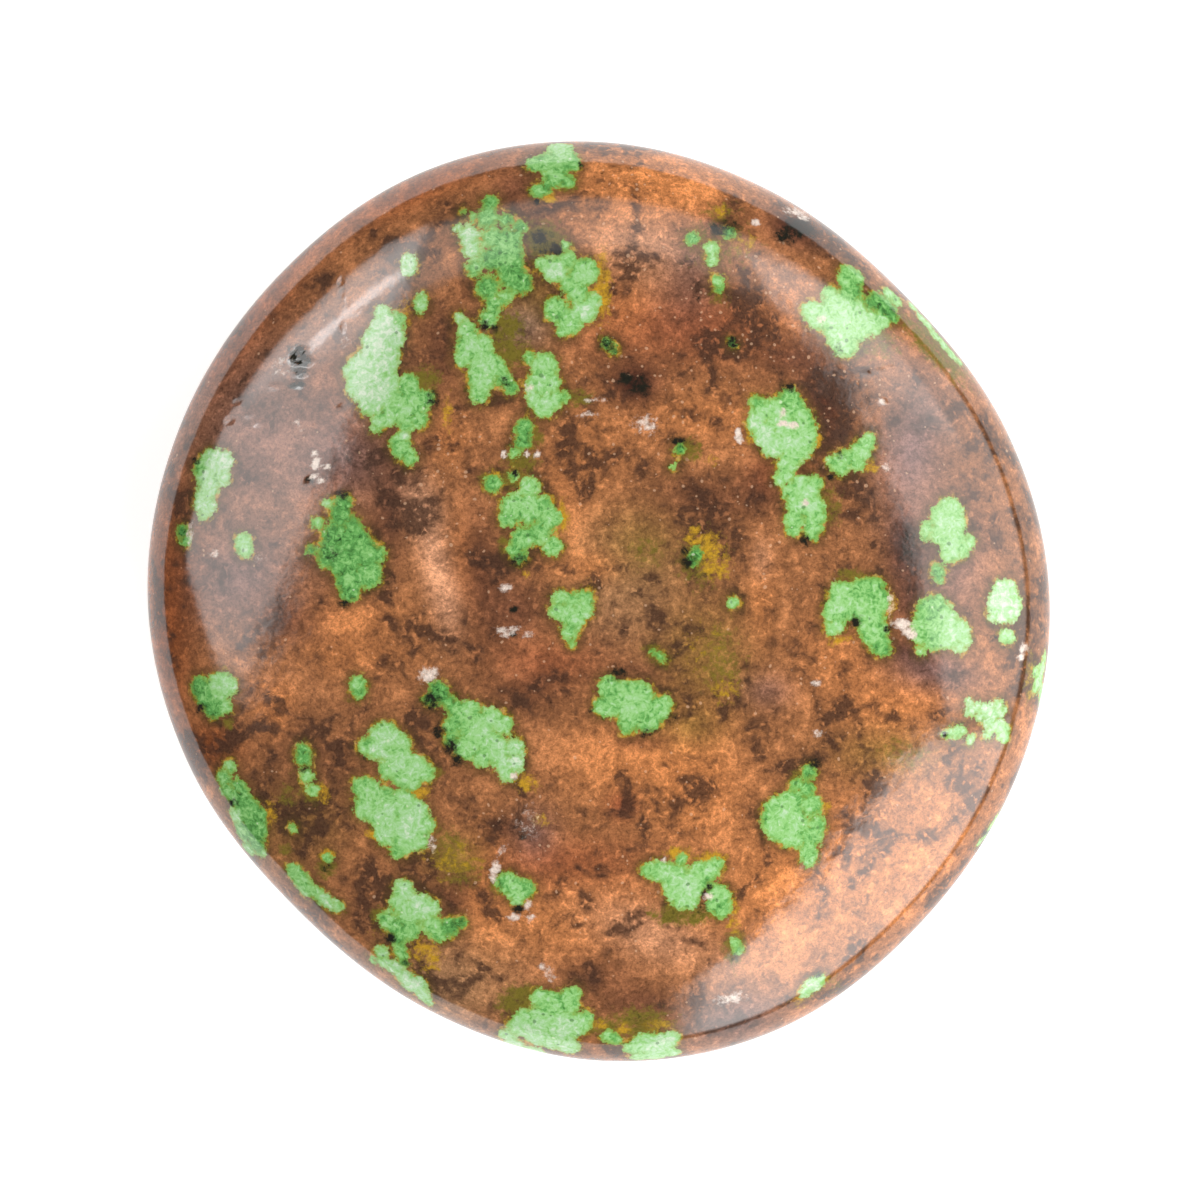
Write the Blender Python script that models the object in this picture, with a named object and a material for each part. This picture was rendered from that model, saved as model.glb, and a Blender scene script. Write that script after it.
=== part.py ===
"""A polished pocket stone: one flattened pebble, domed above and below, lying on a small flat spot.

The stone is a stack of rings. Each ring is the outline seen from above, shrunk by a share between
0 at the middle and 1 at the widest line, and lifted by the crown above it or lowered by the base.
"""

import math

import bmesh
import bpy
import numpy as np

MM = 0.001

# The outline from above: its radius every 22.5 degrees, anticlockwise from +X
OUTLINE_RADII_MM = (19.0, 18.6, 18.2, 18.7, 19.3, 19.5, 19.2, 19.1, 19.0, 18.6, 18.2, 18.7, 19.4, 19.6, 19.2, 19.1)

# Heights above the surface that the stone lies on
WIDEST_LINE_HEIGHT_MM = 4.7
CROWN_RISE_MM = 5.2

# How full each half is: 2 is an ellipse, and a larger number is flatter in the middle and rounder at the rim
CROWN_FULLNESS = 2.6
BASE_FULLNESS = 2.4

# The flat resting spot, as a share of the outline
RESTING_SPOT_SHARE = 0.21

# The widest line rises and falls a little around the stone
RIM_WAVE_MM = 0.35
RIM_WAVE_PHASE_DEG = 130.0

# Broad, shallow flats worn on the crown: direction, distance of the inner edge, slope, softness of the edge
CROWN_FLATS = (
    {"towards_deg": -40.0, "starts_mm": 13.6, "slope_deg": 19.0, "softness_mm": 0.30},
    {"towards_deg": 38.0, "starts_mm": 12.2, "slope_deg": 15.0, "softness_mm": 0.45},
    {"towards_deg": 205.0, "starts_mm": 12.8, "slope_deg": 16.0, "softness_mm": 0.45},
)

# Long, low swells over the crown: height, waves across the stone, direction of travel, phase
CROWN_SWELLS = (
    {"height_mm": 0.10, "waves": 1.1, "towards_deg": 20.0, "phase_deg": 40.0},
    {"height_mm": 0.07, "waves": 1.7, "towards_deg": 110.0, "phase_deg": 200.0},
    {"height_mm": 0.05, "waves": 2.3, "towards_deg": 65.0, "phase_deg": 310.0},
)

CORNERS_AROUND = 96
CROWN_RINGS = 18
BASE_RINGS = 15

STONE_COLOUR = (0.24, 0.105, 0.05, 1.0)
STONE_ROUGHNESS = 0.12


def clear_scene():
    """Removes whatever the scene holds."""
    for old in list(bpy.data.objects):
        bpy.data.objects.remove(old, do_unlink=True)


def outline_radius(angle):
    """The outline's radius in a direction, on a smooth closed curve through the named radii."""
    count = len(OUTLINE_RADII_MM)
    place = (angle / (2 * math.pi) * count) % count
    near = int(place)
    t = place - near
    before, start, end, after = (OUTLINE_RADII_MM[(near + step) % count] for step in (-1, 0, 1, 2))
    bend_in = 2 * before - 5 * start + 4 * end - after
    bend_out = 3 * (start - end) + after - before
    return 0.5 * (2 * start + (end - before) * t + bend_in * t**2 + bend_out * t**3)


def rim_lift(share, angle):
    """How far the widest line's wave lifts a point; the resting spot stays flat."""
    weight = np.clip((share - RESTING_SPOT_SHARE) / (1 - RESTING_SPOT_SHARE), 0, 1) ** 2
    return RIM_WAVE_MM * weight * math.sin(angle - math.radians(RIM_WAVE_PHASE_DEG))


def soft_lower(first, second, softness):
    """The lower of two heights, with the corner between them rounded off."""
    gap = first - second
    return 0.5 * (first + second - math.sqrt(gap * gap + 4 * softness * softness))


def crown_dome(share):
    """The crown's plain height above the widest line."""
    return CROWN_RISE_MM * math.sqrt(max(0.0, 1 - share**CROWN_FULLNESS))


def crown_swell(x, y, share):
    """The long, low swells, which die out towards the rim."""
    height = 0.0
    for swell in CROWN_SWELLS:
        direction = math.radians(swell["towards_deg"])
        along = x * math.cos(direction) + y * math.sin(direction)
        turns = swell["waves"] * along / (2 * OUTLINE_RADII_MM[0])
        height += swell["height_mm"] * math.sin(2 * math.pi * turns + math.radians(swell["phase_deg"]))
    return height * (1 - share**4)


def crown_height(x, y, share):
    """The crown's height above the widest line, with its worn flats."""
    height = crown_dome(share) + crown_swell(x, y, share)
    for flat in CROWN_FLATS:
        direction = math.radians(flat["towards_deg"])
        along = x * math.cos(direction) + y * math.sin(direction)
        start_height = crown_dome(flat["starts_mm"] / outline_radius(direction))
        plane = start_height - math.tan(math.radians(flat["slope_deg"])) * (along - flat["starts_mm"])
        height = soft_lower(height, plane, flat["softness_mm"] * (1 - share**6))
    return height


def crown_point(turn, angle):
    """A point of the crown: turn runs from 0 at the top to a quarter circle at the widest line."""
    share = math.sin(turn) ** (2 / CROWN_FULLNESS)
    x = share * outline_radius(angle) * math.cos(angle)
    y = share * outline_radius(angle) * math.sin(angle)
    z = WIDEST_LINE_HEIGHT_MM + rim_lift(share, angle) + crown_height(x, y, share)
    return x, y, z


def base_point(turn, angle):
    """A point of the base: turn runs from 0 at the resting spot's edge to a quarter circle at the widest line."""
    spread = math.sin(turn) ** (2 / BASE_FULLNESS)
    share = RESTING_SPOT_SHARE + (1 - RESTING_SPOT_SHARE) * spread
    x = share * outline_radius(angle) * math.cos(angle)
    y = share * outline_radius(angle) * math.sin(angle)
    z = WIDEST_LINE_HEIGHT_MM * (1 - math.cos(turn)) + rim_lift(share, angle)
    return x, y, z


def add_ring(bm, point_at, turn):
    """Adds one ring of corners and returns them in order."""
    ring = []
    for corner in range(CORNERS_AROUND):
        angle = 2 * math.pi * corner / CORNERS_AROUND
        ring.append(bm.verts.new(point_at(turn, angle)))
    return ring


def join_rings(bm, inner, outer):
    """Fills the band between two rings with faces whose outside is up when inner lies inside outer."""
    for corner in range(CORNERS_AROUND):
        following = (corner + 1) % CORNERS_AROUND
        bm.faces.new((inner[corner], outer[corner], outer[following], inner[following]))


def stone_mesh():
    """The closed pebble, in metres, with its box centred over the origin and its flat spot at height 0."""
    bm = bmesh.new()
    top = bm.verts.new(crown_point(0.0, 0.0))
    quarter = math.pi / 2
    crown = [add_ring(bm, crown_point, quarter * ring / CROWN_RINGS) for ring in range(1, CROWN_RINGS + 1)]
    base = [add_ring(bm, base_point, quarter * ring / BASE_RINGS) for ring in range(BASE_RINGS)]
    for corner in range(CORNERS_AROUND):
        following = (corner + 1) % CORNERS_AROUND
        bm.faces.new((top, crown[0][corner], crown[0][following]))
    for inner, outer in zip(crown, crown[1:]):
        join_rings(bm, inner, outer)
    join_rings(bm, crown[-1], base[-1])
    for outer, inner in zip(base[:0:-1], base[-2::-1]):
        join_rings(bm, outer, inner)
    bm.faces.new(tuple(reversed(base[0])))
    corners = np.array([vertex.co for vertex in bm.verts])
    middle = 0.5 * (corners.min(axis=0) + corners.max(axis=0))
    bmesh.ops.translate(bm, verts=bm.verts, vec=(-middle[0], -middle[1], 0.0))
    bmesh.ops.scale(bm, verts=bm.verts, vec=(MM, MM, MM))
    mesh = bpy.data.meshes.new("stone")
    bm.to_mesh(mesh)
    bm.free()
    mesh.shade_smooth()
    return mesh


def stone_material():
    """Polished brown rock."""
    material = bpy.data.materials.new("stone")
    material.use_nodes = True
    shader = material.node_tree.nodes["Principled BSDF"]
    shader.inputs["Base Color"].default_value = STONE_COLOUR
    shader.inputs["Roughness"].default_value = STONE_ROUGHNESS
    shader.inputs["Metallic"].default_value = 0.0
    material.diffuse_color = STONE_COLOUR
    return material


def add_stone():
    """The whole stone as one object."""
    stone = bpy.data.objects.new("stone", stone_mesh())
    stone.data.materials.append(stone_material())
    bpy.context.scene.collection.objects.link(stone)
    return stone


clear_scene()
add_stone()
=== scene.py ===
"""The looks of a polished pocket stone: brown rock with green mineral patches, on a pale floor.

The stone is one fine mesh on the curves of its solid. For each corner of the mesh the script works out
what lies there: how far it is inside a green patch, how pale the green is, the ground's colour, and
stains. The ground's colour holds two painted highlight streaks and a band of partly painted shade at the
rim, and the black stains hold painted shade in the pits. The material adds what is finer than the mesh:
ragged edges, mottling, grains and specks.

Places on the stone are read from the photo, which looks straight down at it, and are given in pixels of
its 1200 by 1200 frame. The stone's box turns them into millimetres.
"""

import math

import bpy
import numpy as np
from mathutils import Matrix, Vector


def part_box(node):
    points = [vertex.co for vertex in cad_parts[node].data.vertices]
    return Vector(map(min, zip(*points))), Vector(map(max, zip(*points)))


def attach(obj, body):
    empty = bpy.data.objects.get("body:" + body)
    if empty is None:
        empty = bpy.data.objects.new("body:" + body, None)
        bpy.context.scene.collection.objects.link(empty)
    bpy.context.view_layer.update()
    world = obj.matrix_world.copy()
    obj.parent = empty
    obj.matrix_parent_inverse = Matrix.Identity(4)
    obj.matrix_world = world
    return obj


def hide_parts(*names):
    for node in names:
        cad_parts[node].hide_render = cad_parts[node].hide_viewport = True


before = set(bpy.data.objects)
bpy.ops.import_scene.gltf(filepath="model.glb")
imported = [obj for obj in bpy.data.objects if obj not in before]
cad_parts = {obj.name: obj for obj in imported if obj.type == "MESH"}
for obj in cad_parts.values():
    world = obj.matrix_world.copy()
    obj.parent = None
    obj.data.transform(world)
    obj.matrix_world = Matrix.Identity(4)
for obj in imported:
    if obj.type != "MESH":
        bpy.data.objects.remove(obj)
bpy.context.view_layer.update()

MM = 0.001

# The photo's frame: its size, the middle of the stone's outline and the outline's width
PHOTO_SIZE_PX = 1200
STONE_MIDDLE_PX = (599.0, 601.0)
STONE_WIDTH_PX = 902.5

# The solid's box gives the middle of the stone and the photo's scale
BOX_LOW_MM, BOX_HIGH_MM = (np.array(corner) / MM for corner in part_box("stone"))
STONE_MIDDLE_MM = 0.5 * (BOX_LOW_MM + BOX_HIGH_MM)
MM_PER_PX = (BOX_HIGH_MM[0] - BOX_LOW_MM[0]) / STONE_WIDTH_PX

# The stone's curves, as in its solid: the outline's radius every 22.5 degrees, anticlockwise from +X
OUTLINE_RADII_MM = (
    19.0, 18.6, 18.2, 18.7, 19.3, 19.5, 19.2, 19.1, 19.0, 18.6, 18.2, 18.7, 19.4, 19.6, 19.2, 19.1,
)
WIDEST_LINE_HEIGHT_MM = 4.7
CROWN_RISE_MM = 5.2
CROWN_FULLNESS = 2.6
BASE_FULLNESS = 2.4
RESTING_SPOT_SHARE = 0.21
RIM_WAVE_MM = 0.35
RIM_WAVE_PHASE_DEG = 130.0

# Worn flats of the crown: direction, distance of the inner edge, slope and softness of the edge
CROWN_FLATS = ((-40.0, 13.6, 19.0, 0.30), (38.0, 12.2, 15.0, 0.45), (205.0, 12.8, 16.0, 0.45))

# Long, low swells of the crown: height, waves across the stone, direction and phase
CROWN_SWELLS = ((0.10, 1.1, 20.0, 40.0), (0.07, 1.7, 110.0, 200.0), (0.05, 2.3, 65.0, 310.0))

# Squares across the mesh above the widest line, and below it, where each is as wide as two above
CROWN_CELLS = 280
BASE_CELLS = CROWN_CELLS // 2

# Points on a profile when its rings are spaced
CURVE_POINTS = 4001
FLAT_POINTS = 100

# Where the two halves lie on the square that the exported colours are painted on: middle and radius
CROWN_ON_SHEET = (0.365, 0.635, 0.36)
BASE_ON_SHEET = (0.80, 0.20, 0.19)

# Colours, as screen values from 0 to 255
GROUND = (142, 92, 57)
ZONE_COLOURS = {
    "orange": (198, 124, 70),
    # Light is the stone's paler ground, and also the colour of two painted highlight streaks
    "light": (205, 148, 112),
    "dark": (80, 46, 34),
    "red": (132, 68, 42),
    "deep": (52, 24, 17),
    "purple": (98, 74, 72),
    "olive": (120, 94, 40),
    "tan": (168, 130, 92),
    "grey": (128, 110, 100),
    # Rust is the stone's own brown, and along the left and top rim it is also painted shade
    "rust_and_rim_shade": (122, 62, 28),
}
GREENS = (
    (0.00, (24, 42, 18)),
    (0.16, (56, 106, 48)),
    (0.38, (98, 164, 82)),
    (0.58, (144, 199, 118)),
    (0.78, (168, 208, 156)),
    (1.00, (212, 224, 200)),
)
GOLD_HUES = ((0.34, (66, 64, 18)), (0.47, (126, 108, 30)), (0.56, (184, 146, 46)), (0.7, (208, 168, 92)))
DARK_MOTTLE = (66, 44, 32)
DARK_BLOTCH = (70, 42, 28)
PALE_SPECK = (236, 190, 152)
GREEN_PIT = (52, 96, 44)
GREEN_GRAIN = (226, 232, 204)
PATCH_EDGES = ((92, 150, 52), (170, 186, 84))
NEAR_PATCH = (74, 56, 26)
STAIN_COLOURS = {
    # Ink black is the dark specks' own colour, and also painted shade in the pits
    "ink_and_pit_shade": (26, 26, 17),
    "olive": (112, 100, 34),
    "yellow": (190, 146, 38),
    "white": (226, 208, 194),
}

# Green patches: round lobes as x, y, radius, and tone from 0, deep, to 1, whitish
GREEN_PATCHES = {
    "top_edge": (
        (536, 166, 10, 0.45), (548, 163, 13, 0.5), (563, 160, 14, 0.5), (572, 166, 9, 0.45),
        (556, 178, 12, 0.45), (560, 150, 13, 0.75), (568, 184, 7, 0.35), (539, 193, 8, 0.4),
        (547, 190, 6, 0.4),
    ),
    "tall": (
        (491, 204, 8, 0.4), (489, 220, 10, 0.35), (507, 222, 7, 0.35), (521, 230, 7, 0.3),
        (508, 245, 14, 0.35), (510, 262, 14, 0.35), (513, 278, 12, 0.3), (522, 286, 11, 0.25),
        (506, 300, 7, 0.6), (470, 238, 10, 0.95), (459, 230, 4, 0.9), (473, 252, 9, 0.85),
        (475, 271, 8, 0.55), (488, 290, 11, 0.35), (490, 321, 9, 0.5), (492, 240, 9, 0.45),
        (492, 262, 11, 0.3), (495, 307, 8, 0.45), (464, 213, 3, 0.4), (474, 219, 4, 0.4),
    ),
    "beside_tall": (
        (565, 248, 5, 0.5), (555, 272, 13, 0.75), (585, 274, 14, 0.55), (578, 295, 10, 0.5),
        (556, 312, 12, 0.5), (570, 325, 12, 0.6), (585, 314, 12, 0.75), (594, 303, 7, 0.65),
        (562, 335, 5, 0.5), (570, 286, 9, 0.5), (568, 262, 8, 0.5), (543, 266, 7, 0.6),
    ),
    "under_tall": (
        (461, 320, 5, 0.9), (468, 332, 9, 0.6), (471, 348, 13, 0.55), (485, 345, 8, 0.6),
        (465, 360, 9, 0.6), (485, 363, 14, 0.6), (483, 380, 14, 0.6), (505, 381, 7, 0.45),
        (512, 390, 7, 0.4), (480, 397, 9, 0.6), (498, 370, 9, 0.5), (530, 360, 6, 0.4),
    ),
    "wing": (
        (545, 368, 13, 0.6), (540, 385, 12, 0.65), (552, 385, 9, 0.6), (530, 390, 4, 0.95),
        (545, 408, 12, 0.7), (564, 399, 5, 0.5), (535, 402, 7, 0.7), (556, 402, 7, 0.6),
    ),
    "chain": (
        (525, 430, 9, 0.25), (524, 443, 8, 0.25), (515, 455, 5, 0.6), (514, 478, 5, 0.55),
        (494, 485, 9, 0.35),
    ),
    "middle_left": (
        (530, 488, 10, 0.65), (515, 508, 13, 0.5), (530, 510, 14, 0.55), (508, 520, 8, 0.45),
        (551, 519, 11, 0.5), (524, 539, 11, 0.4), (515, 550, 7, 0.4), (553, 547, 10, 0.6),
        (540, 533, 10, 0.5), (545, 505, 8, 0.5), (521, 558, 6, 0.25),
    ),
    "pale_big": (
        (388, 328, 14, 0.85), (380, 345, 17, 0.9), (385, 362, 16, 0.88), (368, 372, 18, 0.85),
        (362, 388, 14, 0.85), (378, 395, 17, 0.88), (372, 408, 10, 0.8), (393, 340, 14, 0.85),
        (378, 430, 5, 0.6), (358, 372, 12, 0.8), (390, 384, 12, 0.8), (384, 315, 8, 0.75),
        (400, 322, 7, 0.55),
    ),
    "bright_beside_pale": (
        (410, 387, 11, 0.45), (427, 401, 9, 0.5), (405, 410, 13, 0.6), (421, 421, 9, 0.5),
        (382, 422, 9, 0.6), (408, 427, 7, 0.5), (415, 403, 12, 0.5), (395, 402, 11, 0.6),
        (393, 416, 10, 0.6),
    ),
    "below_pale": ((405, 437, 6, 0.75), (404, 450, 10, 0.5), (412, 460, 7, 0.5), (398, 444, 6, 0.5)),
    "small_pale_high": ((410, 263, 8, 0.85), (410, 272, 7, 0.8)),
    "small_pale_low": ((422, 301, 6, 0.75), (422, 310, 6, 0.7)),
    "deep_leaf": (
        (346, 504, 8, 0.2), (343, 516, 10, 0.25), (355, 524, 6, 0.25), (337, 536, 12, 0.25),
        (355, 539, 14, 0.25), (368, 555, 13, 0.35), (380, 555, 8, 0.4), (332, 551, 10, 0.25),
        (313, 551, 5, 0.3), (346, 562, 15, 0.25), (328, 561, 7, 0.3), (371, 575, 13, 0.4),
        (352, 581, 13, 0.35), (352, 593, 9, 0.3), (329, 504, 4, 0.8), (320, 524, 6, 0.6),
        (362, 545, 12, 0.3),
    ),
    "heart": (
        (560, 598, 7, 0.7), (558, 610, 8, 0.65), (585, 598, 8, 0.55), (585, 609, 8, 0.6),
        (575, 618, 10, 0.6), (570, 631, 8, 0.55), (573, 643, 3, 0.5), (567, 614, 8, 0.6),
        (572, 600, 6, 0.4),
    ),
    "centre": (
        (609, 686, 11, 0.45), (603, 705, 9, 0.5), (609, 706, 9, 0.55), (628, 695, 15, 0.55),
        (641, 692, 11, 0.5), (631, 711, 14, 0.55), (626, 726, 7, 0.45), (658, 708, 11, 0.5),
        (652, 720, 9, 0.5), (665, 701, 6, 0.55), (618, 697, 11, 0.5), (645, 706, 10, 0.5),
        (643, 722, 8, 0.45),
    ),
    "tiny_bar": ((652, 651, 3, 0.3), (658, 655, 3, 0.3), (663, 659, 3, 0.35)),
    "diagonal": (
        (438, 686, 6, 0.15), (432, 698, 7, 0.1), (442, 692, 9, 0.2), (450, 700, 6, 0.3),
        (456, 708, 7, 0.4), (470, 711, 12, 0.55), (493, 715, 9, 0.7), (453, 725, 8, 0.45),
        (478, 728, 16, 0.6), (505, 723, 9, 0.65), (468, 746, 12, 0.55), (493, 745, 15, 0.65),
        (516, 746, 9, 0.8), (518, 762, 8, 0.9), (508, 772, 8, 0.8), (463, 716, 9, 0.4), (483, 757, 9, 0.6),
        (503, 760, 9, 0.75), (452, 738, 6, 0.3),
    ),
    "low_left_upper": (
        (387, 735, 15, 0.75), (379, 746, 12, 0.75), (401, 743, 12, 0.65), (401, 760, 14, 0.7),
        (416, 766, 13, 0.7), (427, 771, 9, 0.6), (413, 780, 9, 0.6), (368, 745, 8, 0.6),
        (390, 768, 10, 0.6), (402, 778, 8, 0.55),
    ),
    "low_left_lower": (
        (363, 785, 9, 0.5), (371, 789, 12, 0.6), (368, 806, 12, 0.65), (404, 801, 14, 0.6),
        (416, 812, 15, 0.75), (385, 812, 16, 0.65), (427, 823, 9, 0.75), (408, 828, 17, 0.75),
        (388, 831, 12, 0.7), (405, 843, 10, 0.6), (420, 838, 10, 0.65), (386, 795, 9, 0.5),
        (398, 850, 6, 0.5),
    ),
    "small_olive_left": ((360, 683, 8, 0.5), (361, 691, 6, 0.4)),
    "left_edge_low": (
        (202, 686, 10, 0.25), (209, 695, 12, 0.25), (220, 686, 12, 0.75), (232, 686, 9, 0.8),
        (226, 677, 7, 0.8), (215, 708, 10, 0.2), (226, 705, 7, 0.65), (231, 708, 4, 0.8),
        (218, 697, 10, 0.45),
    ),
    "left_edge_high": (
        (214, 462, 13, 0.8), (226, 462, 10, 0.95), (209, 475, 12, 0.75), (226, 478, 8, 0.8),
        (212, 484, 10, 0.75), (214, 493, 6, 0.7), (205, 505, 9, 0.8), (211, 508, 8, 0.85),
        (206, 516, 5, 0.75), (202, 468, 7, 0.3), (204, 495, 6, 0.6),
    ),
    "left_edge_spot": ((185, 532, 7, 0.2), (188, 541, 6, 0.35)),
    "blue_grey": ((246, 541, 8, 0.7), (248, 550, 8, 0.6)),
    "left_low_edge": (
        (232, 765, 6, 0.6), (226, 777, 8, 0.45), (240, 785, 7, 0.4), (246, 792, 6, 0.4),
        (251, 811, 14, 0.3), (238, 815, 9, 0.75), (262, 815, 8, 0.35), (257, 828, 13, 0.3),
        (245, 831, 12, 0.35), (258, 842, 10, 0.35), (250, 848, 8, 0.5), (236, 797, 8, 0.45),
        (228, 790, 7, 0.5), (244, 800, 9, 0.35), (262, 852, 5, 0.6),
    ),
    "thin_left": (
        (305, 748, 6, 0.3), (306, 757, 8, 0.35), (309, 775, 7, 0.65), (315, 789, 6, 0.6),
        (295, 826, 4, 0.5),
    ),
    "slug": (
        (296, 870, 9, 0.6), (302, 878, 10, 0.55), (308, 888, 9, 0.55), (317, 890, 6, 0.6),
        (329, 900, 8, 0.85), (339, 905, 6, 0.8), (322, 896, 6, 0.7),
    ),
    "yellow_spot_low": ((330, 856, 5, 0.5),),
    "cluster": (
        (405, 887, 10, 0.75), (421, 905, 14, 0.8), (388, 918, 9, 0.55), (411, 928, 10, 0.4),
        (434, 923, 10, 0.6), (451, 925, 9, 0.25), (462, 920, 6, 0.2), (400, 900, 9, 0.65),
        (410, 912, 12, 0.6), (434, 905, 7, 0.8), (397, 925, 9, 0.4), (440, 932, 8, 0.45),
        (400, 938, 7, 0.4), (402, 950, 7, 0.5), (405, 961, 5, 0.25),
    ),
    "cluster_edge": (
        (383, 950, 7, 0.75), (385, 961, 7, 0.75), (396, 966, 8, 0.8), (405, 976, 9, 0.85),
        (418, 983, 11, 0.85), (423, 994, 8, 0.75), (411, 985, 8, 0.8), (373, 958, 4, 0.5),
        (428, 1001, 5, 0.7),
    ),
    "low_small": (
        (510, 881, 10, 0.5), (522, 888, 10, 0.4), (517, 895, 7, 0.7), (504, 879, 7, 0.4),
        (515, 884, 9, 0.6), (529, 884, 6, 0.35),
    ),
    "bottom_big": (
        (568, 999, 12, 0.5), (553, 1002, 14, 0.5), (543, 1017, 15, 0.7), (563, 1025, 18, 0.75),
        (579, 1022, 12, 0.65), (522, 1025, 14, 0.7), (507, 1035, 9, 0.75), (515, 1043, 10, 0.75),
        (538, 1035, 14, 0.75), (568, 1045, 12, 0.8), (550, 1040, 12, 0.75), (541, 995, 10, 0.6),
        (574, 990, 7, 0.5), (587, 1014, 6, 0.6), (525, 1014, 9, 0.6), (535, 1050, 12, 0.7),
        (498, 1042, 7, 0.7), (520, 1052, 9, 0.7),
    ),
    "bottom_bead": ((609, 1035, 8, 0.5), (616, 1038, 6, 0.5)),
    "bottom_right": (
        (645, 1040, 13, 0.7), (660, 1042, 14, 0.85), (671, 1037, 9, 0.88), (655, 1054, 12, 0.7),
        (671, 1051, 9, 0.75), (635, 1047, 9, 0.65), (640, 1056, 9, 0.6), (628, 1046, 5, 0.6),
    ),
    "trefoil": (
        (657, 868, 10, 0.6), (668, 872, 11, 0.6), (676, 874, 12, 0.62), (688, 885, 14, 0.75),
        (681, 895, 11, 0.65), (690, 898, 8, 0.75), (646, 867, 6, 0.5), (709, 867, 10, 0.6),
        (717, 861, 5, 0.6), (701, 877, 9, 0.5), (697, 866, 7, 0.65), (681, 856, 5, 0.5),
        (672, 888, 8, 0.6),
    ),
    "trefoil_drop": ((719, 894, 11, 0.5), (721, 906, 9, 0.45), (713, 901, 8, 0.5), (714, 888, 6, 0.6)),
    "tail_drop": ((734, 939, 5, 0.6), (737, 948, 5, 0.5)),
    "axe": (
        (783, 815, 18, 0.6), (776, 808, 13, 0.55), (776, 824, 14, 0.6), (789, 832, 13, 0.6),
        (795, 782, 6, 0.4), (790, 800, 12, 0.5), (796, 822, 12, 0.55), (770, 815, 10, 0.5),
        (797, 840, 6, 0.55),
    ),
    "axe_handle": (
        (807, 770, 7, 0.25), (805, 787, 8, 0.4), (810, 803, 10, 0.5), (815, 823, 9, 0.5),
        (807, 834, 8, 0.5), (807, 849, 9, 0.6), (807, 858, 7, 0.55), (816, 836, 5, 0.6),
    ),
    "right_low_spot": ((812, 983, 9, 0.85), (804, 991, 6, 0.85), (819, 978, 6, 0.75)),
    "right_top": (
        (847, 274, 9, 0.5), (855, 278, 9, 0.45), (845, 283, 9, 0.5), (853, 291, 9, 0.25),
        (847, 297, 9, 0.35), (876, 301, 9, 0.25), (885, 309, 11, 0.2), (891, 318, 7, 0.25),
        (868, 305, 6, 0.3), (887, 294, 7, 0.7), (896, 301, 7, 0.65),
    ),
    "right_top_pale": (
        (842, 309, 16, 0.66), (831, 306, 10, 0.66), (828, 294, 7, 0.62), (811, 314, 11, 0.66),
        (815, 323, 8, 0.66), (839, 329, 18, 0.68), (870, 325, 12, 0.66), (861, 320, 10, 0.66),
        (881, 321, 9, 0.62), (845, 348, 11, 0.62), (838, 345, 10, 0.62), (825, 318, 11, 0.66),
        (856, 333, 10, 0.62), (855, 309, 9, 0.62),
    ),
    "right_top_strip": (
        (912, 306, 5, 0.6), (921, 317, 6, 0.65), (928, 326, 6, 0.65), (936, 336, 6, 0.65),
        (944, 345, 6, 0.65), (951, 354, 6, 0.65), (958, 362, 5, 0.65),
    ),
    "lattice": (
        (788, 399, 9, 0.4), (791, 408, 12, 0.5), (754, 404, 6, 0.5), (760, 411, 9, 0.6),
        (774, 408, 9, 0.6), (755, 424, 10, 0.8), (763, 436, 12, 0.8), (771, 447, 12, 0.8),
        (777, 419, 12, 0.65), (800, 421, 12, 0.55), (805, 435, 11, 0.6), (798, 445, 14, 0.65),
        (788, 444, 12, 0.65), (792, 456, 11, 0.65), (786, 465, 9, 0.65), (783, 476, 8, 0.7),
        (778, 481, 5, 0.7), (785, 430, 10, 0.65),
    ),
    "lattice_foot": (
        (798, 484, 8, 0.6), (791, 492, 10, 0.6), (805, 493, 12, 0.65), (814, 484, 7, 0.55),
        (797, 505, 12, 0.6), (811, 508, 12, 0.6), (815, 518, 8, 0.5), (792, 521, 9, 0.6),
        (791, 531, 6, 0.5), (811, 527, 9, 0.5), (811, 536, 5, 0.5),
    ),
    "right_bud": (
        (831, 462, 6, 0.55), (837, 468, 7, 0.6), (845, 459, 8, 0.6), (858, 453, 9, 0.6),
        (864, 445, 8, 0.6), (868, 438, 4, 0.6), (855, 464, 8, 0.65), (839, 470, 6, 0.65),
    ),
    "right_pale": (
        (947, 508, 10, 0.66), (953, 511, 8, 0.66), (936, 515, 8, 0.66), (944, 524, 14, 0.68),
        (953, 525, 10, 0.68), (938, 536, 9, 0.62), (950, 539, 13, 0.66), (948, 553, 10, 0.62),
        (961, 550, 7, 0.62), (968, 542, 6, 0.62), (925, 528, 6, 0.6), (922, 537, 4, 0.6),
        (935, 571, 7, 0.35), (936, 578, 5, 0.4),
    ),
    "right_twin": (
        (839, 593, 12, 0.55), (861, 591, 13, 0.45), (873, 587, 9, 0.35), (876, 600, 12, 0.45),
        (837, 608, 13, 0.55), (829, 629, 6, 0.7), (835, 625, 7, 0.65), (858, 606, 14, 0.5),
        (870, 618, 12, 0.5), (872, 633, 13, 0.5), (878, 645, 10, 0.35), (864, 628, 9, 0.6),
        (849, 602, 12, 0.55), (829, 612, 8, 0.55), (883, 650, 5, 0.4),
    ),
    "right_pair": (
        (925, 610, 12, 0.4), (934, 604, 9, 0.45), (919, 626, 11, 0.55), (932, 627, 14, 0.45),
        (944, 640, 8, 0.7), (950, 632, 12, 0.8), (957, 630, 10, 0.85), (963, 640, 6, 0.85),
        (943, 612, 8, 0.75), (930, 641, 9, 0.5), (917, 638, 6, 0.6), (947, 622, 9, 0.8),
        (918, 652, 4, 0.75), (957, 648, 5, 0.8),
    ),
    "right_white": (
        (1001, 591, 12, 0.9), (1009, 590, 8, 0.85), (996, 604, 12, 0.98), (1013, 604, 9, 0.8),
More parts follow.
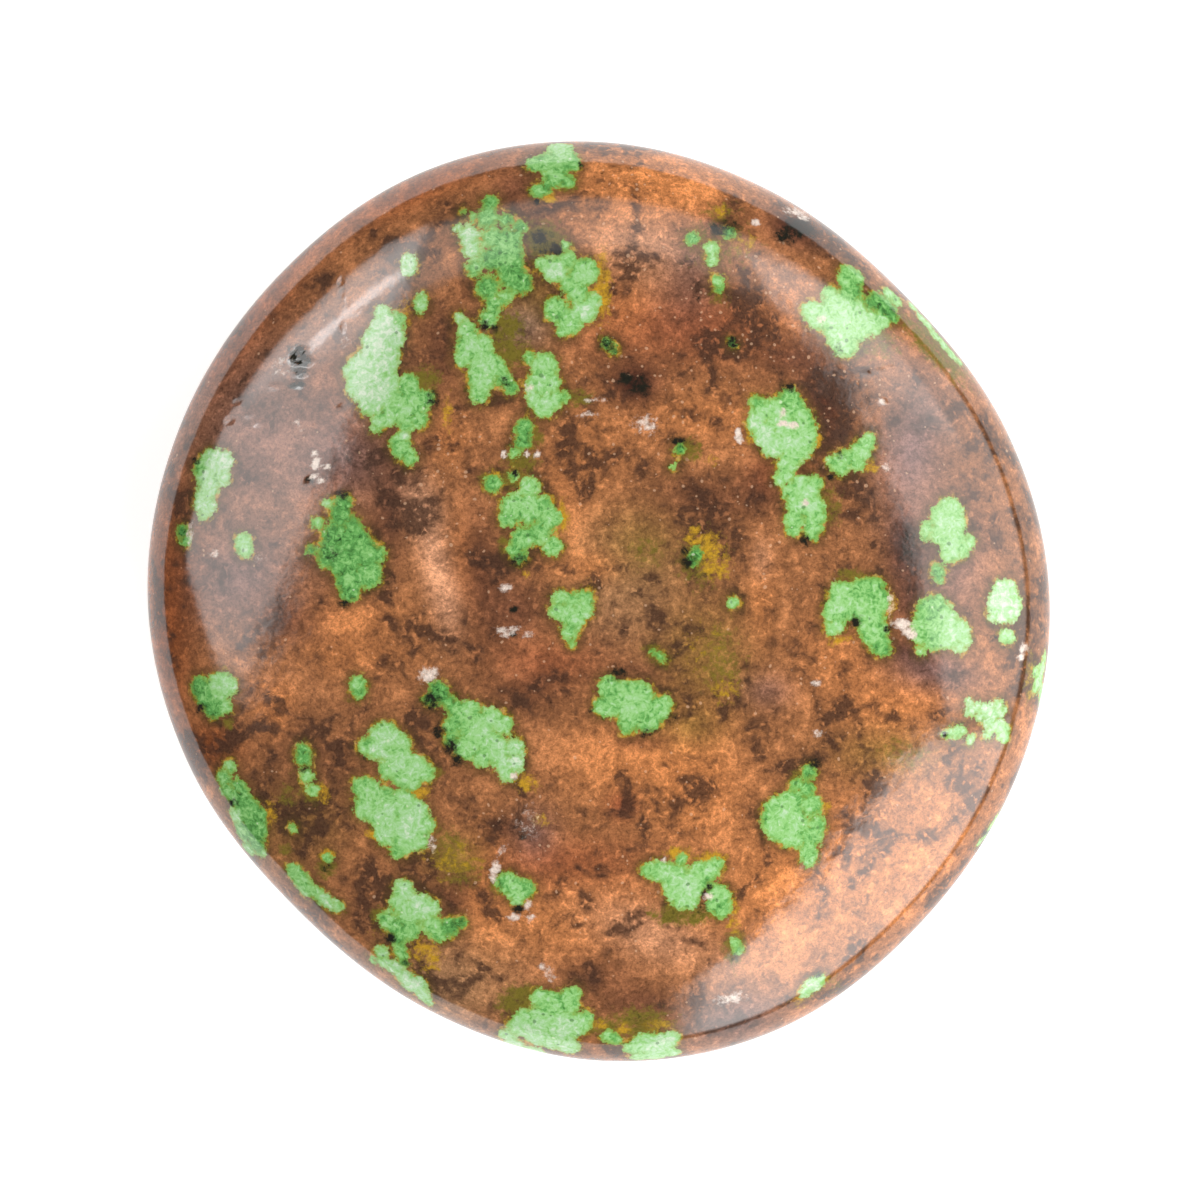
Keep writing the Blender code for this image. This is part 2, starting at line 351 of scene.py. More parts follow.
        (1000, 616, 8, 1.0), (990, 617, 5, 0.95), (1010, 613, 8, 0.85),
    ),
    "right_small": ((1003, 636, 7, 0.7), (1008, 638, 5, 0.7)),
    "right_edge": (
        (1044, 656, 4, 0.6), (1041, 668, 7, 0.65), (1038, 680, 8, 0.6), (1041, 692, 7, 0.6),
        (1040, 702, 4, 0.6), (1034, 672, 5, 0.7), (1034, 688, 5, 0.65),
    ),
    "right_broken": (
        (966, 701, 4, 0.95), (968, 711, 5, 0.9), (976, 706, 4, 0.95), (984, 709, 7, 0.98),
        (991, 713, 7, 0.98), (997, 703, 5, 0.95), (1001, 711, 4, 0.8), (988, 722, 5, 0.9),
        (985, 734, 5, 0.9), (1001, 729, 8, 0.75), (1003, 737, 6, 0.7), (994, 726, 5, 0.8),
        (978, 717, 4, 0.85),
    ),
    "right_faint": ((950, 733, 5, 0.7), (957, 730, 6, 0.65), (968, 739, 5, 0.8), (943, 733, 3, 0.5)),
    "right_strip": (
        (1008, 800, 3, 0.6), (1002, 809, 4, 0.65), (996, 818, 4, 0.65), (990, 827, 4, 0.65),
        (984, 836, 4, 0.65), (978, 843, 3, 0.7), (927, 918, 3, 0.6), (922, 923, 3, 0.6),
    ),
    "middle_spot": ((695, 553, 6, 0.2), (692, 561, 6, 0.2)),
    "middle_bead": ((732, 603, 6, 0.55),),
    "upper_spot": ((679, 450, 6, 0.2), (673, 468, 3, 0.6)),
    "tiny_dark": ((731, 345, 4, 0.15), (606, 345, 5, 0.15), (614, 352, 4, 0.15)),
    "smear": (
        (692, 241, 7, 0.35), (711, 251, 7, 0.55), (711, 263, 6, 0.6), (717, 283, 6, 0.6),
        (718, 292, 4, 0.25), (728, 235, 7, 0.15),
    ),
}

# Soft zones of the ground: kind, x, y, half width, half height, strength and, where it lies aslant, its turn
# anticlockwise in degrees. Two pale streaks among them are painted highlight, and the rim's rust band is
# partly painted shade, as marked.
GROUND_ZONES = (
    ("orange", 655, 195, 90, 45, 0.85, -8), ("light", 640, 255, 50, 35, 0.6),
    ("orange", 620, 310, 25, 35, 0.6), ("red", 660, 330, 90, 40, 0.5), ("orange", 700, 420, 70, 30, 0.45),
    ("orange", 590, 450, 40, 60, 0.3), ("orange", 560, 540, 25, 70, 0.45), ("tan", 620, 590, 60, 60, 0.4),
    ("olive", 640, 545, 40, 35, 0.6), ("olive", 700, 660, 45, 60, 0.6), ("orange", 690, 780, 50, 60, 0.7),
    ("orange", 620, 760, 60, 40, 0.5), ("orange", 570, 905, 80, 45, 0.7),
    ("light", 650, 930, 70, 25, 0.55, -20), ("orange", 485, 910, 22, 50, 0.6),
    ("tan", 450, 980, 60, 45, 0.5), ("orange", 800, 880, 90, 60, 0.7, 30),
    ("orange", 900, 700, 60, 40, 0.6), ("orange", 900, 850, 120, 60, 0.75, 45),
    ("orange", 840, 650, 40, 40, 0.45), ("orange", 830, 310, 60, 30, 0.3),
    # The light zones at x 420 to 450, y 505 to 605, and the orange one at x 465, y 560 are a painted
    # highlight: a pale streak where a gentle ripple of the polish catches the light
    ("light", 420, 505, 20, 30, 0.8, 30), ("light", 438, 560, 15, 45, 0.85, 12),
    ("light", 450, 605, 14, 30, 0.7, 5), ("orange", 465, 560, 14, 50, 0.5, 10),
    ("orange", 340, 620, 60, 25, 0.5), ("orange", 276, 706, 18, 26, 0.9),
    # The orange zone at x 760, y 590 and the light one at x 760, y 560 on the next line are a painted
    # highlight along another ripple of the polish
    ("orange", 350, 655, 60, 20, 0.4), ("orange", 760, 590, 14, 45, 0.5),
    ("orange", 590, 568, 28, 16, 0.6), ("light", 760, 560, 10, 20, 0.4), ("orange", 450, 440, 18, 25, 0.5),
    ("dark", 635, 385, 32, 26, 0.9), ("deep", 635, 386, 18, 14, 0.9), ("dark", 820, 400, 30, 45, 0.85, 10),
    ("deep", 830, 420, 14, 35, 0.5, 10), ("dark", 790, 360, 40, 20, 0.7), ("dark", 900, 545, 18, 40, 0.9),
    ("deep", 905, 545, 12, 25, 0.6), ("dark", 910, 605, 25, 35, 0.8), ("dark", 905, 652, 35, 14, 0.9, -15),
    ("purple", 930, 672, 45, 20, 0.8, -10), ("purple", 910, 450, 35, 70, 0.85, -10),
    ("purple", 945, 560, 40, 60, 0.6), ("dark", 790, 232, 40, 22, 0.9, -25),
    ("deep", 795, 225, 20, 12, 0.8, -25), ("dark", 720, 225, 30, 14, 0.7),
    ("dark", 515, 190, 30, 26, 0.75), ("dark", 540, 240, 30, 22, 0.7), ("olive", 535, 300, 22, 40, 0.6),
    ("grey", 520, 330, 30, 22, 0.5), ("dark", 440, 350, 16, 45, 0.6), ("purple", 350, 460, 45, 45, 0.7),
    ("dark", 392, 510, 18, 55, 0.7), ("purple", 260, 430, 90, 110, 0.6), ("purple", 240, 580, 60, 50, 0.7),
    ("dark", 290, 620, 32, 26, 0.7), ("dark", 480, 575, 28, 75, 0.7, 5), ("dark", 520, 610, 35, 40, 0.7),
    ("dark", 530, 690, 40, 30, 0.5), ("red", 560, 660, 60, 25, 0.5), ("dark", 700, 500, 50, 25, 0.6),
    ("dark", 760, 490, 30, 25, 0.6), ("red", 780, 470, 30, 20, 0.5), ("dark", 612, 350, 18, 12, 0.6),
    ("dark", 640, 672, 30, 12, 0.6), ("olive", 690, 725, 30, 20, 0.6), ("red", 622, 803, 16, 14, 0.8),
    ("deep", 502, 824, 18, 12, 0.6), ("red", 560, 860, 90, 26, 0.6), ("purple", 535, 830, 22, 25, 0.6),
    ("dark", 600, 975, 50, 30, 0.5), ("dark", 642, 1005, 32, 22, 0.7),
    ("purple", 735, 1018, 45, 24, 0.7, 15), ("dark", 300, 790, 40, 60, 0.6),
    ("olive", 300, 820, 50, 40, 0.4), ("rust_and_rim_shade", 215, 745, 30, 25, 0.8), ("dark", 450, 890, 25, 32, 0.7),
    ("olive", 455, 855, 30, 22, 0.7), ("olive", 880, 752, 50, 25, 0.55), ("purple", 765, 690, 25, 18, 0.5),
    ("purple", 690, 280, 30, 45, 0.5), ("red", 720, 330, 60, 30, 0.4), ("dark", 330, 380, 20, 60, 0.3),
    # The rust zones at x 215, y 745, above, and on these last lines make a darker, more saturated band along
    # the left and top rim: partly the stone's own brown, partly painted shade where the rim mirrors the dark
    # gap below the lights
    ("dark", 470, 270, 14, 40, 0.4), ("dark", 640, 740, 30, 8, 0.5), ("rust_and_rim_shade", 170, 620, 30, 160, 0.8),
    ("rust_and_rim_shade", 230, 330, 30, 180, 0.8, -42), ("rust_and_rim_shade", 420, 190, 110, 20, 0.7, 25),
)

# Stains that lie over the ground and the green: x, y, half width, half height, strength and turn, if any.
# The black spots on the sunk pits are painted shade.
STAINS = {
    "ink_and_pit_shade": (
        (540, 240, 7, 6, 1.0), (555, 252, 6, 5, 1.0), (546, 246, 12, 10, 0.6), (485, 328, 4, 4, 1.0),
        (496, 331, 4, 3, 1.0), (507, 385, 3, 6, 0.8, 20), (345, 495, 5, 4, 0.9), (347, 604, 6, 3, 0.9),
        (335, 555, 7, 6, 0.6), (521, 562, 7, 5, 0.9), (618, 672, 7, 5, 0.9), (646, 731, 9, 4, 0.7, 15),
        (440, 729, 6, 6, 0.9), (453, 745, 7, 6, 0.9), (459, 758, 6, 5, 0.8), (432, 700, 7, 8, 0.8),
        (202, 709, 4, 4, 0.9), (198, 461, 4, 4, 0.9), (235, 801, 5, 4, 0.7), (306, 768, 5, 3, 0.8),
        (391, 936, 5, 4, 1.0), (519, 906, 5, 4, 1.0), (405, 961, 5, 4, 0.6), (734, 955, 4, 3, 0.8),
        (811, 762, 6, 5, 0.8), (788, 390, 7, 4, 0.8), (803, 541, 5, 4, 0.9), (836, 456, 5, 4, 0.6),
        (828, 478, 3, 3, 0.8), (686, 562, 5, 5, 0.9), (683, 551, 4, 4, 0.8), (677, 442, 6, 4, 0.9),
        (717, 232, 8, 5, 0.9), (728, 228, 12, 6, 0.7), (836, 352, 4, 6, 0.6), (435, 402, 5, 9, 0.8),
        (731, 345, 5, 5, 0.9), (606, 345, 6, 6, 0.8), (614, 352, 5, 5, 0.8), (785, 238, 10, 7, 0.9),
        # The black spots at x 300, y 352 to 387, x 313 y 481, x 516 y 475 and x 942 y 734, and further down
        # at x 515 y 609 and x 514 y 633, lie on the sunk pits: painted shade in the pits
        (800, 228, 14, 9, 0.9, -20), (300, 360, 9, 11, 1.0), (303, 352, 5, 5, 1.0), (308, 363, 5, 5, 1.0),
        (303, 374, 5, 5, 1.0), (300, 387, 7, 3, 1.0), (313, 481, 4, 4, 1.0), (639, 388, 9, 8, 0.9),
        (626, 382, 7, 6, 0.9), (516, 475, 3, 3, 1.0), (991, 638, 4, 3, 0.7), (942, 734, 3, 3, 0.9),
        (985, 832, 6, 4, 0.7, 45), (1007, 792, 5, 3, 0.5, 50), (905, 545, 7, 14, 0.6),
        (853, 622, 5, 5, 0.9), (885, 628, 4, 3, 0.9), (815, 972, 7, 4, 0.7, 20),
        (705, 888, 3, 8, 0.8, -40), (701, 905, 5, 7, 0.6, -20), (697, 300, 4, 4, 0.6),
        (515, 609, 3, 3, 1.0), (514, 633, 3, 3, 1.0), (368, 757, 4, 4, 0.6), (328, 867, 6, 5, 0.7),
        (642, 1020, 14, 7, 0.5), (524, 833, 5, 4, 0.7), (538, 205, 3, 3, 0.9), (581, 167, 3, 4, 0.7),
        (671, 717, 3, 5, 0.6), (590, 709, 3, 5, 0.6), (681, 912, 14, 5, 0.4),
    ),
    "olive": (
        (544, 243, 16, 14, 0.9), (494, 482, 12, 9, 0.8), (508, 354, 18, 12, 0.9), (579, 400, 12, 7, 0.8),
        (537, 439, 6, 8, 0.9), (522, 462, 14, 8, 0.8), (517, 478, 12, 10, 0.7), (505, 545, 5, 7, 0.8),
        (427, 382, 12, 10, 0.9), (508, 329, 14, 12, 0.9), (488, 292, 9, 9, 0.4), (568, 187, 9, 7, 0.8),
        (438, 771, 6, 6, 0.8), (450, 850, 14, 18, 0.7), (462, 868, 16, 14, 0.7), (360, 688, 11, 12, 0.6),
        (231, 723, 5, 5, 0.8), (306, 757, 10, 14, 0.7), (313, 790, 10, 12, 0.6), (292, 794, 8, 10, 0.6),
        (520, 997, 18, 12, 0.9, 20), (640, 1020, 26, 12, 0.9), (604, 1024, 14, 8, 0.8),
        (502, 880, 9, 9, 0.8), (683, 912, 26, 9, 0.9), (733, 945, 9, 16, 0.8), (797, 785, 10, 14, 0.7),
        (646, 551, 14, 14, 0.5), (700, 560, 20, 24, 0.6), (720, 660, 18, 30, 0.6), (690, 452, 10, 9, 0.8),
        (875, 345, 20, 14, 0.6), (934, 350, 10, 40, 0.8, 45), (829, 505, 9, 16, 0.6),
        (868, 462, 8, 10, 0.6), (720, 215, 14, 9, 0.6), (717, 298, 8, 10, 0.6), (848, 576, 12, 6, 0.8),
        (656, 655, 12, 7, 0.7, -40), (720, 245, 30, 22, 0.5), (287, 848, 6, 5, 0.8), (328, 866, 8, 9, 0.9),
        (378, 912, 6, 6, 0.8), (560, 1018, 8, 8, 0.3), (905, 752, 22, 14, 0.5), (1028, 680, 5, 26, 0.6),
        (430, 957, 10, 10, 0.4), (835, 982, 8, 10, 0.4),
    ),
    "yellow": (
        (550, 200, 6, 4, 0.9), (602, 290, 7, 28, 0.8), (564, 518, 5, 12, 0.8), (550, 502, 8, 4, 0.7),
        (496, 476, 6, 4, 0.8), (450, 415, 6, 14, 0.5), (590, 600, 5, 16, 0.6), (422, 791, 8, 5, 0.8),
        (380, 834, 10, 4, 0.8, -15), (528, 782, 8, 7, 0.8), (541, 818, 10, 6, 0.5),
        (428, 950, 12, 10, 0.7), (432, 960, 8, 7, 0.7), (694, 538, 8, 8, 0.8), (708, 547, 12, 12, 0.7),
        (714, 567, 11, 11, 0.7), (723, 689, 10, 10, 0.5), (711, 462, 6, 5, 0.5), (746, 245, 8, 8, 0.6),
        (720, 214, 6, 5, 0.6), (749, 439, 5, 6, 0.6), (814, 442, 5, 7, 0.7), (870, 468, 6, 5, 0.7),
        (824, 805, 5, 5, 0.7), (799, 1000, 8, 6, 0.5), (326, 792, 5, 7, 0.7), (272, 812, 6, 12, 0.6),
        (330, 853, 6, 6, 0.8), (679, 851, 11, 5, 0.8), (710, 855, 12, 5, 0.8), (733, 905, 4, 12, 0.6),
        (732, 924, 6, 7, 0.6), (655, 1022, 14, 5, 0.6), (599, 1022, 6, 4, 0.7), (624, 1025, 6, 5, 0.7),
        (390, 936, 14, 16, 0.3), (889, 605, 4, 12, 0.7), (407, 320, 8, 14, 0.5), (527, 574, 3, 3, 0.8),
        (455, 860, 20, 14, 0.4), (700, 650, 20, 20, 0.25), (838, 640, 10, 4, 0.6, 20),
        (1028, 680, 4, 20, 0.4),
    ),
    "white": (
        (589, 416, 8, 2, 0.7), (595, 402, 8, 2, 0.7), (528, 455, 2.5, 2.5, 1.0), (538, 456, 2.5, 2.5, 1.0),
        (505, 456, 2.5, 2.5, 1.0), (514, 774, 3, 3, 1.0), (804, 503, 3, 3, 1.0), (780, 425, 4, 3, 1.0),
        (792, 427, 4, 3, 1.0), (781, 415, 3, 4, 1.0), (755, 224, 3, 3, 1.0), (797, 214, 12, 4, 0.6, -20),
        (645, 427, 10, 7, 0.7), (737, 435, 3, 4, 1.0), (739, 441, 3, 3, 1.0), (509, 588, 5, 3, 0.8),
        (504, 632, 7, 4, 0.6), (516, 629, 4, 3, 0.8), (530, 634, 4, 3, 0.7), (217, 554, 4, 3, 0.8),
        (814, 682, 4, 3, 0.9), (815, 732, 4, 3, 0.9), (884, 468, 3, 3, 0.9), (317, 455, 2.5, 3, 1.0),
        (319, 461, 3, 3, 1.0), (318, 467, 3, 3, 1.0), (316, 478, 3, 2.5, 1.0), (323, 482, 3, 2.5, 1.0),
        (330, 468, 2.5, 2.5, 1.0), (431, 674, 8, 6, 0.8, 20), (496, 868, 4, 8, 0.9, -15),
        (532, 915, 4, 3, 0.8), (514, 915, 5, 3, 0.8), (528, 902, 3, 4, 0.8), (900, 624, 8, 4, 0.9, -10),
        (908, 633, 6, 4, 0.9), (888, 605, 3, 10, 0.6), (1019, 658, 2.5, 3, 1.0), (1022, 648, 4, 5, 0.6),
        (730, 996, 11, 4, 0.7, 8), (550, 970, 4, 8, 0.6, 20), (543, 963, 3, 3, 0.8),
        (708, 893, 5, 3, 0.8, 20), (664, 857, 3, 3, 0.7), (433, 841, 4, 7, 0.5), (880, 403, 3, 3, 0.9),
        (283, 368, 8, 7, 0.4), (345, 343, 5, 7, 0.4), (530, 820, 8, 12, 0.4), (192, 535, 3, 9, 0.6),
        (300, 427, 5, 5, 0.4), (263, 558, 5, 3, 0.4), (503, 848, 5, 3, 0.6, 40), (530, 390, 4, 3, 0.8),
        (820, 321, 4, 4, 0.8),
    ),
}

# Where pale specks lie thickest: x, y, half width, half height, strength
PALE_ZONES = (
    (750, 370, 130, 100, 1.0), (450, 475, 60, 45, 1.0), (640, 230, 90, 60, 0.6), (780, 560, 60, 90, 0.4),
    (520, 840, 60, 40, 0.7), (640, 840, 60, 60, 0.4), (560, 640, 60, 60, 0.3), (800, 640, 60, 60, 0.4),
)
# Small pits in the polish: x, y, radius
PITS = (
    (300, 360, 8), (303, 352, 5), (308, 364, 5), (303, 375, 5), (300, 387, 4), (276, 388, 3),
    (345, 331, 3), (349, 302, 2.5), (343, 295, 3), (343, 284, 3), (232, 422, 4), (252, 416, 4),
    (260, 424, 5), (238, 403, 3), (282, 405, 2.5), (320, 425, 3), (312, 407, 2.5), (312, 435, 2.5),
    (345, 407, 3), (313, 481, 4), (516, 475, 3), (515, 609, 3), (514, 633, 3), (865, 374, 3),
    (879, 372, 3), (888, 369, 3), (880, 403, 3), (942, 734, 3),
)
PIT_DEPTH_SHARE = 0.35

# How the lobes of a patch flow together, how wide their seams are, how far from its middle a patch counts,
# and the depth that a point beyond all patches has
LOBE_BLEND_MM = 0.1
SEAM_WIDTH_MM = 0.09
PATCH_REACH_MM = 6.0
OUTSIDE_MM = -3.0

# A stain's strength in its middle, cut off at 1, and how much it loses on the way to its outline
STAIN_MIDDLE = 1.5
STAIN_LOSS = 0.75

# The underside, which the photo doesn't show: its patches and its soft zones, placed by chance. A patch is a
# row of lobes, each a share of the patch's size, whose tones and headings wander. The photo's zones fade out
# between the two heights.
CHANCE_SEED = 11
BASE_PATCH_COUNT = 26
BASE_PATCH_SIZES_MM = (0.45, 1.1)
BASE_PATCH_TONES = (0.2, 0.85)
BASE_PATCH_GAP_MM = 1.6
BASE_PATCH_ROOM = 1.8
CROWDED_PATCH_SHARE = 0.02
BASE_LOBE_COUNTS = (5, 14)
BASE_LOBE_SHARES = (0.35, 0.75)
BASE_LOBE_TONE_SPREAD = 0.12
BASE_LOBE_TONE_LIMITS = (0.05, 0.95)
BASE_LOBE_BEND_RAD = 1.1
BASE_ZONE_COUNT = 90
BASE_ZONE_SIZES_MM = (0.8, 3.2)
BASE_ZONE_STRENGTHS = (0.3, 0.8)
ZONES_FADE_MM = (2.4, 4.2)

# The material's noise patterns: lumps to a millimetre, detail, roughness and distortion
NOISES = {
    "wander": (1.3, 2.0, 0.5, 0.0),
    "grain": (7.0, 2.0, 0.7, 0.0),
    "fine grain": (15.0, 1.0, 0.6, 0.0),
    "lumps": (0.42, 4.0, 0.58, 0.5),
    "mottle": (1.5, 3.0, 0.55, 0.3),
    "blotches": (3.2, 2.0, 0.5, 0.3),
    "leaves": (4.6, 3.0, 0.6, 0.8),
    "clouds": (1.6, 2.0, 0.5, 0.0),
    "patch edge": (4.6, 4.0, 0.7, 0.0),
    "patch edge hue": (3.0, 2.0, 0.5, 0.0),
    "gold gaps": (2.2, 3.0, 0.65, 0.0),
    "gold hue": (2.6, 2.0, 0.6, 0.0),
    "stain edge": (3.4, 4.0, 0.72, 0.0),
    "polish": (1.1, 3.0, 0.5, 0.0),
    "surface": (0.9, 3.0, 0.5, 0.0),
}

# How far a pattern pushes what it acts on up or down
PUSHES = {
    "grain": 0.95,
    "fine grain": 0.5,
    "lumps": 2.0,
    "mottle": 1.0,
    "blotches": 1.3,
    "leaves": 0.5,
    "clouds": 0.16,
    "patch edge": 0.28,
    "stain edge": 1.1,
    "polish": 0.04,
}
WANDER_MM = 0.3

# Colours over the ground: from which value to which they come in, and how much they cover at most
COVERS = {
    "pale lumps": (0.05, 0.75, 0.6),
    "dark lumps": (0.0, -0.6, 0.85),
    "pale blotches": (0.1, 0.6, 0.4),
    "dark blotches": (-0.1, -0.6, 0.4),
    "near a patch": (-0.5, -0.05, 0.55),
}
PALE_LUMP_LIGHT = 2.2
PALE_BLOTCH_LIGHT = 2.6

# How strongly the grain lightens and darkens, and the least light that it leaves
GROUND_GRAIN_LIGHT = 0.85
STAIN_GRAIN_LIGHT = 0.5
LEAST_GRAIN_LIGHT = 0.2

# Specks: how many cells there are to a millimetre, a speck's size in its cell, how much it covers and its
# colour. Then the share of the cells that have one, and what a pale zone adds to it.
SPECKS = {
    "pale": (5.2, 0.45, 0.38, PALE_SPECK),
    "pit": (3.3, 0.4, 0.6, GREEN_PIT),
    "grain": (4.1, 0.34, 0.5, GREEN_GRAIN),
}
PALE_SPECK_SHARE = 0.03
PALE_ZONE_EXTRA_SHARE = 0.3
GREEN_PIT_SHARE = 0.3
GREEN_GRAIN_SHARE = 0.14
SPECK_SOFTNESS = 0.15

# A patch's edge. A pair in millimetres is two distances inwards from it, between which a thing comes in; the
# gold line is whole where its gaps' noise is above the second value.
PATCH_GROWTH_MM = 0.04
GREEN_COMES_IN_MM = (-0.03, 0.05)
GREEN_DEEPENS_MM = (0.0, 0.45)
YELLOWER_EDGE_MM = (0.0, 0.2)
YELLOWER_EDGE_COVER = 0.7
GOLD_LINE_MM = (-0.17, -0.05)
GOLD_LINE_GAPS = (0.4, 0.62)
GOLD_LINE_COVER = 0.85
GOLD_GRAIN_PUSH = 0.12

# The green's place along its colours: what its tone gives, and how depth, grain and seams push it
GREEN_TONE_SHARE = 0.7
GREEN_TONE_START = 0.19
GREEN_DEPTH_MIDDLE = 0.7
GREEN_DEPTH_PUSH = 0.14
GREEN_GRAIN_PUSH = 0.13
GREEN_SEAM_PUSH = 0.07

# Strengths between which a stain comes in: with its ragged edge added, and without
STAIN_EDGE = (0.25, 1.0)
STAIN_FADE = (0.0, 0.15)

# The polish: how much light it mirrors, its mean roughness, and how strong and deep its unevenness is
POLISH_IOR = 1.7
POLISH_ROUGHNESS = 0.09
SURFACE_STRENGTH = 0.12
SURFACE_DEPTH_MM = 0.08

# The studio's lights, as the stone's top mirrors them: each lies between two angles from overhead, behind
# straight edges. An edge is the direction it faces in degrees, its distance from overhead as the sine of
# the angle, and its softness. Each also has its brightness.
LIGHTS = {
    "left window": {
        "from": 10, "to": 63, "soft": 4, "light": 2.7,
        "edges": ((180, 0.33, 0.06), (90, -0.20, 0.10), (49, -0.54, 0.06), (153, 0.32, 0.06)),
    },
    "left tube": {
        "from": 43.5, "to": 48.5, "soft": 1.5, "light": 5.0,
        "edges": ((54, 0.0, 0.04), (210, 0.0, 0.06)),
    },
    "top panel": {
        "from": 34, "to": 60, "soft": 6, "light": 1.2,
        "edges": ((90, 0.36, 0.08),),
    },
    "right window": {
        "from": 10, "to": 86, "soft": 4, "light": 2.3,
        "edges": ((15, 0.50, 0.04), (90, -0.26, 0.05), (-90, -0.68, 0.10)),
    },
    "low card": {
        "from": 10, "to": 86, "soft": 4, "light": 3.8,
        "edges": ((-42, 0.56, 0.03), (-90, 0.24, 0.05), (0, 0.10, 0.15)),
    },
}
DOME_LIGHT = 0.1
BACKDROP = (0.97, 0.97, 0.97, 1.0)

# The floor is lit a little from below, as a light table is, so the stone's shadow stays faint
FLOOR_GLOW = 0.5
FLOOR_GREY = 0.93
FLOOR_ROUGHNESS = 0.9
FLOOR_SHINE = 0.1
FLOOR_HALF_WIDTH_M = 1.5

CAMERA_HEIGHT_MM = 450.0
CAMERA_NEAR_MM = 10.0


def linear(colour):
    """A screen colour from 0 to 255 as linear light from 0 to 1."""
    values = np.asarray(colour, float) / 255
    return np.where(values <= 0.04045, values / 12.92, ((values + 0.055) / 1.055) ** 2.4)


def smooth_step(values, low, high):
    """0 below low, 1 above high and a smooth rise between."""
    t = np.clip((values - low) / (high - low), 0, 1)
    return t * t * (3 - 2 * t)


def outline_radius(angle):
    """The outline's radius in each direction, on a smooth closed curve through the named radii."""
    radii = np.array(OUTLINE_RADII_MM)
    place = np.asarray(angle) / (2 * math.pi) * len(radii) % len(radii)
    near = np.floor(place).astype(int)
    t = place - near
    before, start, end, after = (radii[(near + step) % len(radii)] for step in (-1, 0, 1, 2))
    bend_in = 2 * before - 5 * start + 4 * end - after
    bend_out = 3 * (start - end) + after - before
    return 0.5 * (2 * start + (end - before) * t + bend_in * t**2 + bend_out * t**3)


def rim_lift(share, angle):
    """How far the widest line's wave lifts a point."""
    weight = np.clip((share - RESTING_SPOT_SHARE) / (1 - RESTING_SPOT_SHARE), 0, 1) ** 2
    return RIM_WAVE_MM * weight * np.sin(angle - math.radians(RIM_WAVE_PHASE_DEG))


def soft_lower(first, second, softness):
    """The lower of two heights, with the corner between them rounded off."""
    gap = first - second
    return 0.5 * (first + second - np.sqrt(gap * gap + 4 * softness * softness))


def crown_dome(share):
    """The crown's plain height above the widest line."""
    return CROWN_RISE_MM * np.sqrt(np.maximum(0.0, 1 - share**CROWN_FULLNESS))


def crown_height(x, y, share):
    """The crown's height above the widest line, with its swells and worn flats."""
    swell = 0.0
    for height, waves, towards_deg, phase_deg in CROWN_SWELLS:
        direction = math.radians(towards_deg)
        turns = waves * (x * math.cos(direction) + y * math.sin(direction)) / (2 * OUTLINE_RADII_MM[0])
        swell = swell + height * np.sin(2 * math.pi * turns + math.radians(phase_deg))
    top = crown_dome(share) + swell * (1 - share**4)
    for towards_deg, starts, slope_deg, softness in CROWN_FLATS:
        direction = math.radians(towards_deg)
        along = x * math.cos(direction) + y * math.sin(direction)
        start_height = crown_dome(starts / outline_radius(direction))
        plane = start_height - math.tan(math.radians(slope_deg)) * (along - starts)
        top = soft_lower(top, plane, softness * (1 - share**6))
    return top


def crown_points(share, angle):
    """Points of the crown, in millimetres, before the stone is centred."""
    x = share * outline_radius(angle) * np.cos(angle)
    y = share * outline_radius(angle) * np.sin(angle)
    z = WIDEST_LINE_HEIGHT_MM + rim_lift(share, angle) + crown_height(x, y, share)
    return np.stack([x, y, z], axis=-1)


def base_points(share, angle):
    """Points of the base, in millimetres, before the stone is centred."""
    spread = np.clip((share - RESTING_SPOT_SHARE) / (1 - RESTING_SPOT_SHARE), 0, 1)
    x = share * outline_radius(angle) * np.cos(angle)
    y = share * outline_radius(angle) * np.sin(angle)
    z = WIDEST_LINE_HEIGHT_MM * (1 - np.sqrt(1 - spread**BASE_FULLNESS)) + rim_lift(share, angle)
    return np.stack([x, y, z], axis=-1)


def even_shares(shares, points_at, rings):
    """Shares of the outline for rings that lie equally far apart along a half's profile."""
    profile = points_at(shares, np.zeros_like(shares))
    steps = np.linalg.norm(np.diff(profile, axis=0), axis=1)
    along = np.concatenate([[0.0], np.cumsum(steps)])
    return np.interp(np.linspace(0, along[-1], rings + 1), along, shares)


def disc_grid(cells):
    """A disc woven as a square grid: each corner's ring number and its angle."""
    steps = np.arange(cells + 1) - cells // 2
    a, b = np.meshgrid(steps, steps, indexing="ij")
    ring = np.maximum(np.abs(a), np.abs(b))
    sideways = np.abs(a) >= np.abs(b)
    safe_a = np.where(a == 0, 1, a)
    safe_b = np.where(b == 0, 1, b)
    angle_sideways = np.where(a < 0, math.pi, 0.0) + math.pi / 4 * b / safe_a
    angle_upright = np.where(b < 0, -math.pi / 2, math.pi / 2) - math.pi / 4 * a / safe_b
    return ring, np.where(sideways, angle_sideways, angle_upright)


def crown_grid():
    """The crown's corners, their rings' distances along the profile from 0 to 1, and their angles."""
    turns = np.linspace(0, math.pi / 2, CURVE_POINTS)
    shares = even_shares(np.sin(turns) ** (2 / CROWN_FULLNESS), crown_points, CROWN_CELLS // 2)
    ring, angle = disc_grid(CROWN_CELLS)
    return crown_points(shares[ring], angle), ring / (CROWN_CELLS // 2), angle


